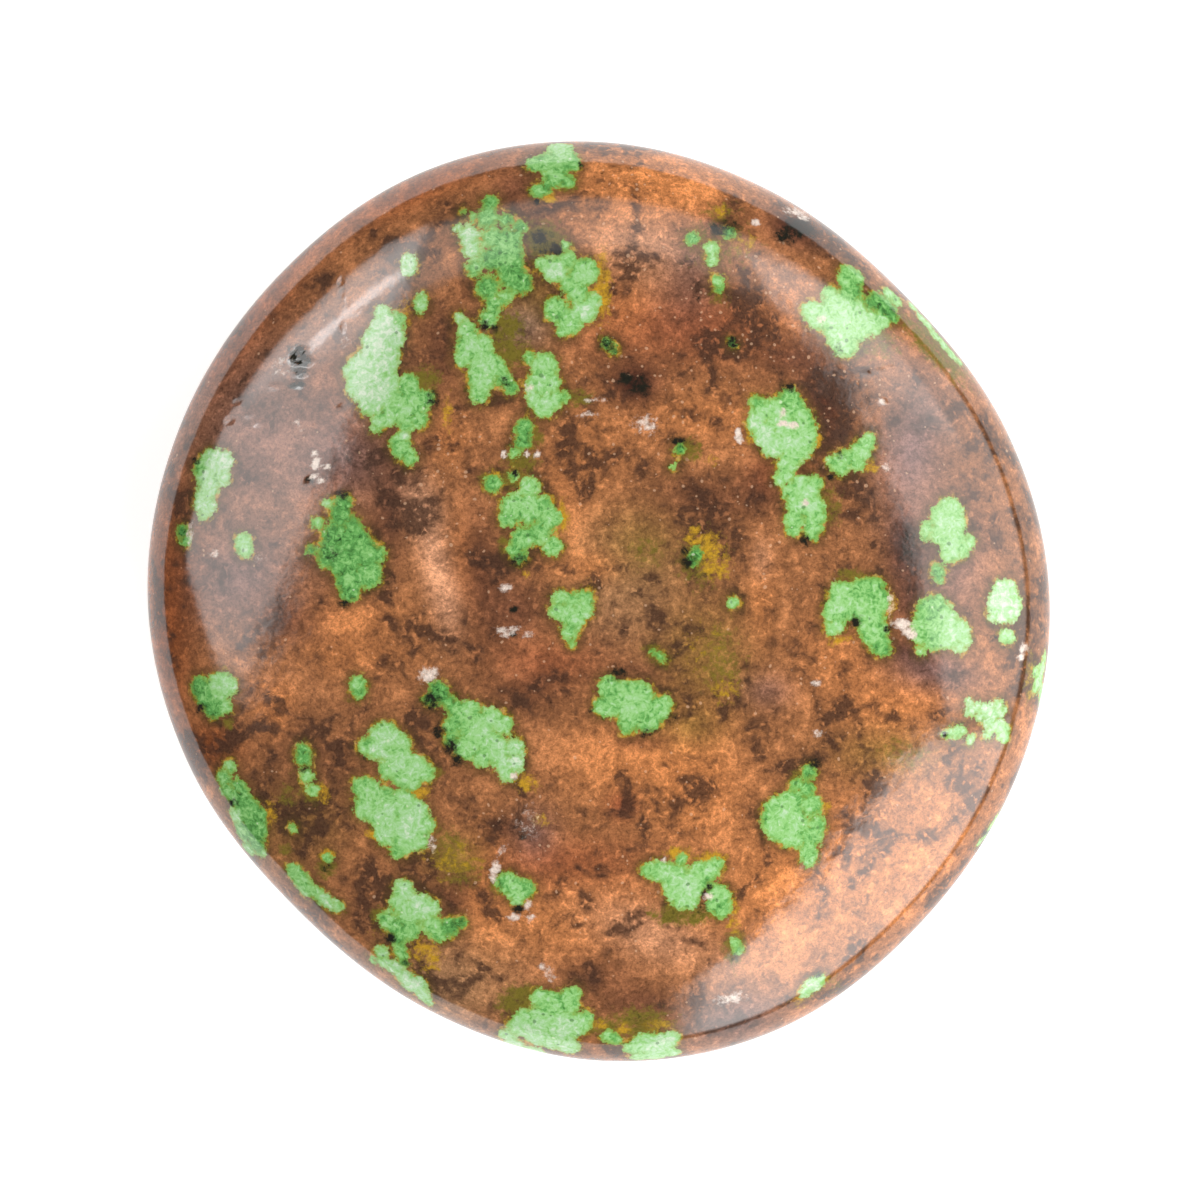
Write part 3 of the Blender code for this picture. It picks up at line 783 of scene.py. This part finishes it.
def base_grid():
    """The base's corners, their rings' distances along the profile from 0 to 1, and their angles."""
    turns = np.linspace(0, math.pi / 2, CURVE_POINTS)
    curve = RESTING_SPOT_SHARE + (1 - RESTING_SPOT_SHARE) * np.sin(turns) ** (2 / BASE_FULLNESS)
    flat = np.linspace(0, RESTING_SPOT_SHARE, FLAT_POINTS, endpoint=False)
    shares = even_shares(np.concatenate([flat, curve]), base_points, BASE_CELLS // 2)
    ring, angle = disc_grid(BASE_CELLS)
    return base_points(shares[ring], angle), ring / (BASE_CELLS // 2), angle


class Stone:
    """The stone's mesh as arrays: corners in millimetres, faces, and face corners' places on the sheet."""

    def __init__(self):
        crown, crown_out, crown_angle = crown_grid()
        base, self.base_out, base_angle = base_grid()
        inner_base = self.base_out < 1
        self.crown_ids = np.arange(crown_out.size).reshape(crown_out.shape)
        self.base_ids = self.crown_ids[::2, ::2].copy()
        self.base_ids[inner_base] = crown_out.size + np.arange(inner_base.sum())
        self.points = np.concatenate([crown.reshape(-1, 3), base[inner_base]])
        self.on_crown = np.arange(len(self.points)) < crown_out.size
        self.crown_sheet = self.on_sheet(CROWN_ON_SHEET, crown_out, crown_angle)
        self.base_sheet = self.on_sheet(BASE_ON_SHEET, self.base_out, base_angle)
        self.centre()

    @staticmethod
    def on_sheet(disc, out, angle):
        """Places on the painted square of a half's corners."""
        x, y, radius = disc
        return np.stack([x + radius * out * np.cos(angle), y + radius * out * np.sin(angle)], axis=-1)

    def centre(self):
        """Moves the stone so that its box has the middle of the solid's box."""
        for axis in (0, 1):
            middle = 0.5 * (self.points[:, axis].min() + self.points[:, axis].max())
            self.points[:, axis] += STONE_MIDDLE_MM[axis] - middle

    def base_face(self, i, j):
        """A base face's corners and places. At the rim it takes in the crown's corner between its own."""
        around = ((i, j), (i, j + 1), (i + 1, j + 1), (i + 1, j))
        face = []
        places = []
        for here, following in zip(around, around[1:] + around[:1]):
            face.append(int(self.base_ids[here]))
            places.append(self.base_sheet[here])
            if self.base_out[here] == 1 and self.base_out[following] == 1:
                face.append(int(self.crown_ids[here[0] + following[0], here[1] + following[1]]))
                places.append(0.5 * (self.base_sheet[here] + self.base_sheet[following]))
        return face, places

    def faces(self):
        """Faces, and their corners' places on the sheet."""
        faces = []
        places = []
        for i in range(CROWN_CELLS):
            for j in range(CROWN_CELLS):
                around = ((i, j), (i + 1, j), (i + 1, j + 1), (i, j + 1))
                faces.append([int(self.crown_ids[at]) for at in around])
                places.extend(self.crown_sheet[at] for at in around)
        for i in range(BASE_CELLS):
            for j in range(BASE_CELLS):
                face, face_places = self.base_face(i, j)
                faces.append(face)
                places.extend(face_places)
        return faces, np.array(places)


def photo_to_mm(x, y):
    """A place in the photo as millimetres on the stone seen from above."""
    return (
        STONE_MIDDLE_MM[0] + (x - STONE_MIDDLE_PX[0]) * MM_PER_PX,
        STONE_MIDDLE_MM[1] - (y - STONE_MIDDLE_PX[1]) * MM_PER_PX,
    )


def height_at(points, x, y):
    """The height of the point that is nearest to a place, seen from above."""
    return points[np.argmin((points[:, 0] - x) ** 2 + (points[:, 1] - y) ** 2), 2]


def photo_patches(stone):
    """The photo's patches as lists of lobes: middle, radius in millimetres, and tone."""
    crown = stone.points[stone.on_crown]
    patches = []
    for lobes in GREEN_PATCHES.values():
        patch = []
        for x_px, y_px, radius_px, tone in lobes:
            x, y = photo_to_mm(x_px, y_px)
            patch.append((np.array([x, y, height_at(crown, x, y)]), radius_px * MM_PER_PX, tone))
        patches.append(patch)
    return patches


def is_crowded(start, size, taken):
    """Whether a patch would start close to one that is there already."""
    for other, reach in taken:
        if np.linalg.norm(start - other) < BASE_PATCH_GAP_MM + BASE_PATCH_ROOM * (size + reach):
            return True
    return False


def chance_patch(base, start, size, rng):
    """A patch of lobes that wander over the base."""
    tone = rng.uniform(*BASE_PATCH_TONES)
    heading = rng.uniform(0, 2 * math.pi)
    at = start.copy()
    patch = []
    for _ in range(rng.integers(*BASE_LOBE_COUNTS)):
        radius = size * rng.uniform(*BASE_LOBE_SHARES)
        lobe_tone = np.clip(tone + rng.normal(0, BASE_LOBE_TONE_SPREAD), *BASE_LOBE_TONE_LIMITS)
        patch.append((at.copy(), radius, lobe_tone))
        heading += rng.normal(0, BASE_LOBE_BEND_RAD)
        at = at + radius * np.array([math.cos(heading), math.sin(heading), 0.0])
        at[2] = height_at(base, at[0], at[1])
    return patch


def base_patches(stone, rng):
    """Patches for the underside and the side below the widest line, which the photo doesn't show."""
    base = stone.points[~stone.on_crown]
    patches = []
    taken = []
    while len(patches) < BASE_PATCH_COUNT:
        start = base[rng.integers(len(base))]
        size = rng.uniform(*BASE_PATCH_SIZES_MM)
        if is_crowded(start, size, taken) and rng.random() < 1 - CROWDED_PATCH_SHARE:
            continue
        taken.append((start, size))
        patches.append(chance_patch(base, start, size, rng))
    return patches


def patch_fields(points, patch):
    """How far each point is inside one patch, its tone there, and its seams, where two lobes meet."""
    middles, radii, tones = (np.array(values) for values in zip(*patch))
    depth = radii - np.linalg.norm(points[:, None] - middles, axis=2)
    ordered = np.sort(depth, axis=1)
    deepest = ordered[:, -1]
    second = ordered[:, -2] if len(patch) > 1 else OUTSIDE_MM
    weights = np.exp((depth - deepest[:, None]) / LOBE_BLEND_MM)
    weight_sum = weights.sum(axis=1)
    inside = deepest + LOBE_BLEND_MM * np.log(weight_sum)
    tone = (weights * tones).sum(axis=1) / weight_sum
    seam = smooth_step(SEAM_WIDTH_MM - (deepest - second), 0, SEAM_WIDTH_MM)
    return inside, tone, seam


def green_fields(points, patches):
    """How far each point is inside a green patch in millimetres, the patch's tone there, and its seams."""
    inside = np.full(len(points), OUTSIDE_MM)
    tone = np.full(len(points), 0.5)
    seam = np.zeros(len(points))
    for patch in patches:
        middle = np.mean([lobe_middle for lobe_middle, radius, lobe_tone in patch], axis=0)
        near = np.flatnonzero(np.linalg.norm(points - middle, axis=1) < PATCH_REACH_MM)
        patch_inside, patch_tone, patch_seam = patch_fields(points[near], patch)
        deeper = patch_inside > inside[near]
        places = near[deeper]
        inside[places] = patch_inside[deeper]
        tone[places] = patch_tone[deeper]
        seam[places] = patch_seam[deeper]
    return inside, tone, seam


def ellipse(points, x, y, half_width, half_height, turn_deg=0.0):
    """Squared distance from a place in the photo, as a share of an ellipse's half axes, seen from above."""
    middle_x, middle_y = photo_to_mm(x, y)
    turn = math.radians(turn_deg)
    dx = points[:, 0] - middle_x
    dy = points[:, 1] - middle_y
    along = dx * math.cos(turn) + dy * math.sin(turn)
    across = dy * math.cos(turn) - dx * math.sin(turn)
    return (along / (half_width * MM_PER_PX)) ** 2 + (across / (half_height * MM_PER_PX)) ** 2


def ground_colours(points, rng):
    """The ground's soft colours, without its grain, as linear light, with two painted highlight streaks and
    a band of partly painted shade at the rim.
    """
    colours = np.tile(linear(GROUND), (len(points), 1))
    crown_weight = smooth_step(points[:, 2], *ZONES_FADE_MM)
    for kind, x, y, half_width, half_height, strength, *turn in GROUND_ZONES:
        weight = strength * np.exp(-ellipse(points, x, y, half_width, half_height, *turn)) * crown_weight
        colours += weight[:, None] * (linear(ZONE_COLOURS[kind]) - colours)
    kinds = list(ZONE_COLOURS)
    for _ in range(BASE_ZONE_COUNT):
        kind = kinds[rng.integers(len(kinds))]
        angle = rng.uniform(0, 2 * math.pi)
        distance = OUTLINE_RADII_MM[0] * math.sqrt(rng.uniform(0, 1))
        centre = np.array([distance * math.cos(angle), distance * math.sin(angle)])
        size = rng.uniform(*BASE_ZONE_SIZES_MM)
        reach = ((points[:, :2] - centre) ** 2).sum(axis=1) / size**2
        weight = rng.uniform(*BASE_ZONE_STRENGTHS) * np.exp(-reach) * (1 - crown_weight)
        colours += weight[:, None] * (linear(ZONE_COLOURS[kind]) - colours)
    return colours


def stain_field(points, spots, on_crown):
    """A stain's strength from 0 to 1, with soft edges that the material makes ragged. Among the black stains
    it is also painted shade in the pits.
    """
    field = np.zeros(len(points))
    for x, y, half_width, half_height, strength, *turn in spots:
        reach = np.sqrt(ellipse(points, x, y, half_width, half_height, *turn))
        field = np.maximum(field, strength * np.clip(STAIN_MIDDLE - reach * STAIN_LOSS, 0, 1) * on_crown)
    return field


def add_pits(stone):
    """Sinks the small pits into the crown."""
    for x, y, radius in PITS:
        reach = ellipse(stone.points, x, y, radius, radius)
        depth = PIT_DEPTH_SHARE * radius * MM_PER_PX
        stone.points[:, 2] -= depth * np.clip(1 - reach, 0, 1) ** 2 * stone.on_crown


def add_attribute(mesh, name, values):
    """Keeps one number for each corner of a mesh."""
    attribute = mesh.attributes.new(name, "FLOAT", "POINT")
    attribute.data.foreach_set("value", np.asarray(values, np.float32))


def add_colours(mesh, name, colours):
    """Keeps one linear colour for each corner of a mesh."""
    attribute = mesh.attributes.new(name, "FLOAT_COLOR", "POINT")
    with_alpha = np.ones((len(colours), 4), np.float32)
    with_alpha[:, :3] = colours
    attribute.data.foreach_set("color", with_alpha.ravel())


def stone_mesh():
    """The stone's mesh, with what lies at each corner as attributes."""
    rng = np.random.default_rng(CHANCE_SEED)
    stone = Stone()
    patches = photo_patches(stone) + base_patches(stone, rng)
    inside, tone, seam = green_fields(stone.points, patches)
    colours = ground_colours(stone.points, rng)
    stains = {name: stain_field(stone.points, spots, stone.on_crown) for name, spots in STAINS.items()}
    pale = stain_field(stone.points, PALE_ZONES, stone.on_crown)
    add_pits(stone)
    faces, places = stone.faces()
    mesh = bpy.data.meshes.new("polished_stone")
    mesh.from_pydata((stone.points * MM).tolist(), [], faces)
    sheet = mesh.uv_layers.new(name="OFBake")
    sheet.uv.foreach_set("vector", places.astype(np.float32).ravel())
    add_attribute(mesh, "inside_green", inside)
    add_attribute(mesh, "green_tone", tone)
    add_attribute(mesh, "green_seam", seam)
    for name, field in stains.items():
        add_attribute(mesh, name, field)
    add_attribute(mesh, "pale", pale)
    add_colours(mesh, "ground", colours)
    mesh.shade_smooth()
    return mesh


class Shader:
    """Adds nodes to a material and joins them."""

    def __init__(self, tree):
        self.tree = tree

    def node(self, kind, **settings):
        """A new node with its settings."""
        node = self.tree.nodes.new(kind)
        for name, value in settings.items():
            setattr(node, name, value)
        return node

    def feed(self, socket, value):
        """Joins a socket to an output, or gives it a plain value."""
        if isinstance(value, bpy.types.NodeSocket):
            self.tree.links.new(value, socket)
        else:
            socket.default_value = value

    def math(self, operation, *values):
        """A Math node's result."""
        node = self.node("ShaderNodeMath", operation=operation)
        for socket, value in zip(node.inputs, values):
            self.feed(socket, value)
        return node.outputs[0]

    def vector(self, operation, *values):
        """A Vector Math node's result."""
        node = self.node("ShaderNodeVectorMath", operation=operation)
        for socket, value in zip(node.inputs, values):
            self.feed(socket, value)
        return node.outputs[0]

    def scaled(self, vector, factor):
        """A vector times a number."""
        node = self.node("ShaderNodeVectorMath", operation="SCALE")
        self.feed(node.inputs[0], vector)
        self.feed(node.inputs["Scale"], factor)
        return node.outputs[0]

    def step(self, value, low, high):
        """0 below low, 1 above high and a smooth rise between."""
        node = self.node("ShaderNodeMapRange", interpolation_type="SMOOTHSTEP")
        self.feed(node.inputs["Value"], value)
        self.feed(node.inputs["From Min"], low)
        self.feed(node.inputs["From Max"], high)
        return node.outputs["Result"]

    def mix(self, factor, first, second):
        """Two colours mixed; a plain colour is a screen colour from 0 to 255."""
        node = self.node("ShaderNodeMix", data_type="RGBA")
        colour_sockets = [socket for socket in node.inputs if socket.type == "RGBA"]
        self.feed(node.inputs["Factor"], factor)
        for socket, value in zip(colour_sockets, (first, second)):
            if isinstance(value, tuple):
                value = (*linear(value), 1.0)
            self.feed(socket, value)
        return next(socket for socket in node.outputs if socket.type == "RGBA")

    def noise(self, position, pattern, colour=False):
        """Smooth noise around 0.5, in one of the named patterns."""
        per_mm, detail, roughness, distortion = NOISES[pattern]
        node = self.node("ShaderNodeTexNoise")
        self.feed(node.inputs["Vector"], position)
        node.inputs["Scale"].default_value = per_mm
        node.inputs["Detail"].default_value = detail
        node.inputs["Roughness"].default_value = roughness
        node.inputs["Distortion"].default_value = distortion
        return node.outputs["Color" if colour else "Fac"]

    def cells(self, position, per_mm):
        """Scattered points: the distance to the nearest, and a random colour for each."""
        node = self.node("ShaderNodeTexVoronoi")
        self.feed(node.inputs["Vector"], position)
        node.inputs["Scale"].default_value = per_mm
        return node.outputs["Distance"], node.outputs["Color"]

    def attribute(self, name, colour=False):
        """What the mesh keeps under a name."""
        node = self.node("ShaderNodeAttribute", attribute_name=name)
        return node.outputs["Color" if colour else "Fac"]

    def ramp(self, value, stops):
        """Screen colours along a value."""
        node = self.node("ShaderNodeValToRGB")
        elements = node.color_ramp.elements
        while len(elements) < len(stops):
            elements.new(0.5)
        for element, (place, colour) in zip(elements, stops):
            element.position = place
            element.color = (*linear(colour), 1.0)
        self.feed(node.inputs["Fac"], value)
        return node.outputs["Color"]


def push(shader, position, pattern):
    """Noise in a named pattern, turned into its push up or down."""
    noise = shader.noise(position, pattern)
    return shader.math("MULTIPLY", shader.math("SUBTRACT", noise, 0.5), 2 * PUSHES[pattern])


def total(shader, *values):
    """Several values added up."""
    result = values[0]
    for value in values[1:]:
        result = shader.math("ADD", result, value)
    return result


def speckled(shader, colour, position, kind, share):
    """A colour with specks over it, in a share of the cells that their size divides the rock into."""
    per_mm, size, most, speck_colour = SPECKS[kind]
    distance, chance = shader.cells(position, per_mm)
    split = shader.node("ShaderNodeSeparateColor")
    shader.feed(split.inputs[0], chance)
    chosen = shader.math("LESS_THAN", split.outputs[0], share)
    reach = shader.math("MULTIPLY", split.outputs[1], size)
    round_spot = shader.step(shader.math("SUBTRACT", reach, distance), 0.0, SPECK_SOFTNESS)
    cover = shader.math("MULTIPLY", shader.math("MULTIPLY", chosen, round_spot), most)
    return shader.mix(cover, colour, speck_colour)


def covered(shader, colour, kind, value, other):
    """A colour with another over it, where a value brings that kind of cover in."""
    low, high, most = COVERS[kind]
    cover = shader.math("MULTIPLY", shader.step(value, low, high), most)
    return shader.mix(cover, colour, other)


def ground_look(shader, position, grain):
    """The brown ground: soft colours, among them painted highlight streaks and partly painted rim shade,
    broken up by lumps, grains and specks.
    """
    soft = shader.attribute("ground", colour=True)
    lumps = total(shader, push(shader, position, "lumps"), push(shader, position, "mottle"))
    colour = covered(shader, soft, "pale lumps", lumps, shader.scaled(soft, PALE_LUMP_LIGHT))
    colour = covered(shader, colour, "dark lumps", lumps, DARK_MOTTLE)
    blotches = push(shader, position, "blotches")
    colour = covered(shader, colour, "pale blotches", blotches, shader.scaled(soft, PALE_BLOTCH_LIGHT))
    colour = covered(shader, colour, "dark blotches", blotches, DARK_BLOTCH)
    light = shader.math("ADD", 1.0, shader.math("MULTIPLY", grain, GROUND_GRAIN_LIGHT))
    colour = shader.scaled(colour, shader.math("MAXIMUM", light, LEAST_GRAIN_LIGHT))
    pale_zone = shader.attribute("pale")
    share = shader.math("MULTIPLY_ADD", pale_zone, PALE_ZONE_EXTRA_SHARE, PALE_SPECK_SHARE)
    return speckled(shader, colour, position, "pale", share)


def green_place(shader, position, grain, inside):
    """The green's place along its colours: leafy mottling, paler in the middle of a patch."""
    tone = shader.attribute("green_tone")
    place = shader.math("MULTIPLY_ADD", tone, GREEN_TONE_SHARE, GREEN_TONE_START)
    leaves = push(shader, position, "leaves")
    clouds = push(shader, position, "clouds")
    depth = shader.math("SUBTRACT", shader.step(inside, *GREEN_DEEPENS_MM), GREEN_DEPTH_MIDDLE)
    depth_push = shader.math("MULTIPLY", depth, GREEN_DEPTH_PUSH)
    grain_push = shader.math("MULTIPLY", grain, GREEN_GRAIN_PUSH)
    value = total(shader, place, leaves, clouds, depth_push, grain_push)
    seams = shader.math("MULTIPLY", shader.attribute("green_seam"), GREEN_SEAM_PUSH)
    return shader.math("SUBTRACT", value, seams)


def green_look(shader, position, grain, inside):
    """The green mineral: its mottled green with pits and grains, yellower at a patch's edge."""
    colour = shader.ramp(green_place(shader, position, grain, inside), GREENS)
    colour = speckled(shader, colour, position, "pit", GREEN_PIT_SHARE)
    colour = speckled(shader, colour, position, "grain", GREEN_GRAIN_SHARE)
    edge = shader.math("SUBTRACT", 1.0, shader.step(inside, *YELLOWER_EDGE_MM))
    yellower = shader.mix(shader.noise(position, "patch edge hue"), *PATCH_EDGES)
    return shader.mix(shader.math("MULTIPLY", edge, YELLOWER_EDGE_COVER), colour, yellower)


def rim_look(shader, position, grain, inside, ground):
    """The ground close to a patch: darker, with a thin broken gold to olive line at the patch's edge."""
    colour = covered(shader, ground, "near a patch", inside, NEAR_PATCH)
    line = shader.step(inside, *GOLD_LINE_MM)
    unbroken = shader.step(shader.noise(position, "gold gaps"), *GOLD_LINE_GAPS)
    cover = shader.math("MULTIPLY", line, shader.math("MULTIPLY", unbroken, GOLD_LINE_COVER))
    grain_push = shader.math("MULTIPLY", grain, GOLD_GRAIN_PUSH)
    hue = shader.math("ADD", shader.noise(position, "gold hue"), grain_push)
    return shader.mix(cover, colour, shader.ramp(hue, GOLD_HUES))


def stained(shader, colour, name, ragged, grain):
    """A colour with one kind of stain over it. The black kind also paints shade into the pits."""
    field = shader.attribute(name)
    cover = shader.step(shader.math("ADD", field, ragged), *STAIN_EDGE)
    cover = shader.math("MULTIPLY", cover, shader.step(field, *STAIN_FADE))
    light = shader.math("MULTIPLY_ADD", grain, STAIN_GRAIN_LIGHT, 1.0)
    light = shader.math("MAXIMUM", light, LEAST_GRAIN_LIGHT)
    tint = shader.scaled(tuple(linear(STAIN_COLOURS[name])), light)
    return shader.mix(cover, colour, tint)


def rock_position(shader):
    """The surface's own place in millimetres, pushed about a little so that no pattern runs straight."""
    coordinates = shader.node("ShaderNodeTexCoord")
    straight = shader.scaled(coordinates.outputs["Object"], 1 / MM)
    wander = shader.vector("SUBTRACT", shader.noise(straight, "wander", colour=True), (0.5, 0.5, 0.5))
    return shader.vector("ADD", straight, shader.scaled(wander, WANDER_MM))


def rock_colour(shader, position):
    """Brown ground, green patches with a yellow rim, and stains, all with one fine grain. The ground holds
    painted highlight streaks and partly painted shade at the rim, and the black stains hold painted shade in
    the pits.
    """
    grain = total(shader, push(shader, position, "grain"), push(shader, position, "fine grain"))
    ragged = push(shader, position, "patch edge")
    inside = total(shader, shader.attribute("inside_green"), ragged, PATCH_GROWTH_MM)
    ground = rim_look(shader, position, grain, inside, ground_look(shader, position, grain))
    stain_push = push(shader, position, "stain edge")
    for name in ("olive", "yellow"):
        ground = stained(shader, ground, name, stain_push, grain)
    green = green_look(shader, position, grain, inside)
    colour = shader.mix(shader.step(inside, *GREEN_COMES_IN_MM), ground, green)
    for name in ("ink_and_pit_shade", "white"):
        colour = stained(shader, colour, name, stain_push, grain)
    return colour


def stone_material():
    """Polished rock with its colours and a faint unevenness."""
    material = bpy.data.materials.new("polished_rock")
    material.use_nodes = True
    shader = Shader(material.node_tree)
    surface = material.node_tree.nodes["Principled BSDF"]
    position = rock_position(shader)
    shader.feed(surface.inputs["Base Color"], rock_colour(shader, position))
    surface.inputs["IOR"].default_value = POLISH_IOR
    roughness = shader.math("ADD", POLISH_ROUGHNESS, push(shader, position, "polish"))
    shader.feed(surface.inputs["Roughness"], roughness)
    bump = shader.node("ShaderNodeBump")
    bump.inputs["Strength"].default_value = SURFACE_STRENGTH
    bump.inputs["Distance"].default_value = SURFACE_DEPTH_MM * MM
    shader.feed(bump.inputs["Height"], shader.noise(position, "surface"))
    shader.feed(surface.inputs["Normal"], bump.outputs["Normal"])
    return material


def add_stone():
    """The stone in place of its plain solid."""
    stone = bpy.data.objects.new("polished_stone", stone_mesh())
    bpy.context.scene.collection.objects.link(stone)
    stone.data.materials.append(stone_material())
    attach(stone, "root")
    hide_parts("stone")


def add_floor():
    """A plain pale floor."""
    mesh = bpy.data.meshes.new("floor")
    half = FLOOR_HALF_WIDTH_M
    corners = [(-half, -half, 0), (half, -half, 0), (half, half, 0), (-half, half, 0)]
    mesh.from_pydata(corners, [], [(0, 1, 2, 3)])
    floor = bpy.data.objects.new("floor", mesh)
    bpy.context.scene.collection.objects.link(floor)
    material = bpy.data.materials.new("pale_floor")
    material.use_nodes = True
    surface = material.node_tree.nodes["Principled BSDF"]
    surface.inputs["Base Color"].default_value = (FLOOR_GREY, FLOOR_GREY, FLOOR_GREY, 1.0)
    surface.inputs["Roughness"].default_value = FLOOR_ROUGHNESS
    surface.inputs["Specular IOR Level"].default_value = FLOOR_SHINE
    surface.inputs["Emission Color"].default_value = (1.0, 1.0, 1.0, 1.0)
    surface.inputs["Emission Strength"].default_value = FLOOR_GLOW
    mesh.materials.append(material)


def studio_light(shader, across, up, polar, lamp):
    """One light's brightness in each direction of the surroundings."""
    beyond = shader.step(shader.math("SUBTRACT", polar, lamp["from"]), 0.0, lamp["soft"])
    within = shader.step(shader.math("SUBTRACT", lamp["to"], polar), 0.0, lamp["soft"])
    area = shader.math("MULTIPLY", beyond, within)
    for facing_deg, distance, softness in lamp["edges"]:
        facing = math.radians(facing_deg)
        upward = shader.math("MULTIPLY", up, math.sin(facing))
        along = shader.math("MULTIPLY_ADD", across, math.cos(facing), upward)
        area = shader.math("MULTIPLY", area, shader.step(along, distance, distance + softness))
    return shader.math("MULTIPLY", area, lamp["light"])


def add_light():
    """Soft studio light from all around, and a plain backdrop where the camera sees past the floor."""
    world = bpy.data.worlds.new("studio")
    bpy.context.scene.world = world
    world.use_nodes = True
    shader = Shader(world.node_tree)
    background = world.node_tree.nodes["Background"]
    output = world.node_tree.nodes["World Output"]
    split = shader.node("ShaderNodeSeparateXYZ")
    shader.feed(split.inputs[0], shader.node("ShaderNodeTexCoord").outputs["Generated"])
    polar = shader.math("MULTIPLY", shader.math("ARCCOSINE", split.outputs["Z"]), 180 / math.pi)
    across, up = split.outputs["X"], split.outputs["Y"]
    lights = (studio_light(shader, across, up, polar, lamp) for lamp in LIGHTS.values())
    shader.feed(background.inputs["Strength"], total(shader, DOME_LIGHT, *lights))
    background.inputs["Color"].default_value = (1.0, 1.0, 1.0, 1.0)
    backdrop = shader.node("ShaderNodeBackground")
    backdrop.inputs["Color"].default_value = BACKDROP
    chooser = shader.node("ShaderNodeMixShader")
    shader.feed(chooser.inputs[0], shader.node("ShaderNodeLightPath").outputs["Is Camera Ray"])
    shader.feed(chooser.inputs[1], background.outputs[0])
    shader.feed(chooser.inputs[2], backdrop.outputs[0])
    shader.feed(output.inputs["Surface"], chooser.outputs[0])


def add_camera():
    """The camera straight above, framed as the photo."""
    camera = bpy.data.cameras.new("camera")
    holder = bpy.data.objects.new("camera", camera)
    bpy.context.scene.collection.objects.link(holder)
    x, y = photo_to_mm(PHOTO_SIZE_PX / 2, PHOTO_SIZE_PX / 2)
    holder.location = (x * MM, y * MM, CAMERA_HEIGHT_MM * MM)
    half_view = 0.5 * PHOTO_SIZE_PX * MM_PER_PX
    camera.sensor_fit = "HORIZONTAL"
    camera.angle = 2 * math.atan(half_view / (CAMERA_HEIGHT_MM - WIDEST_LINE_HEIGHT_MM))
    camera.clip_start = CAMERA_NEAR_MM * MM
    bpy.context.scene.camera = holder


bpy.context.scene.view_settings.view_transform = "Standard"
add_stone()
add_floor()
add_light()
add_camera()
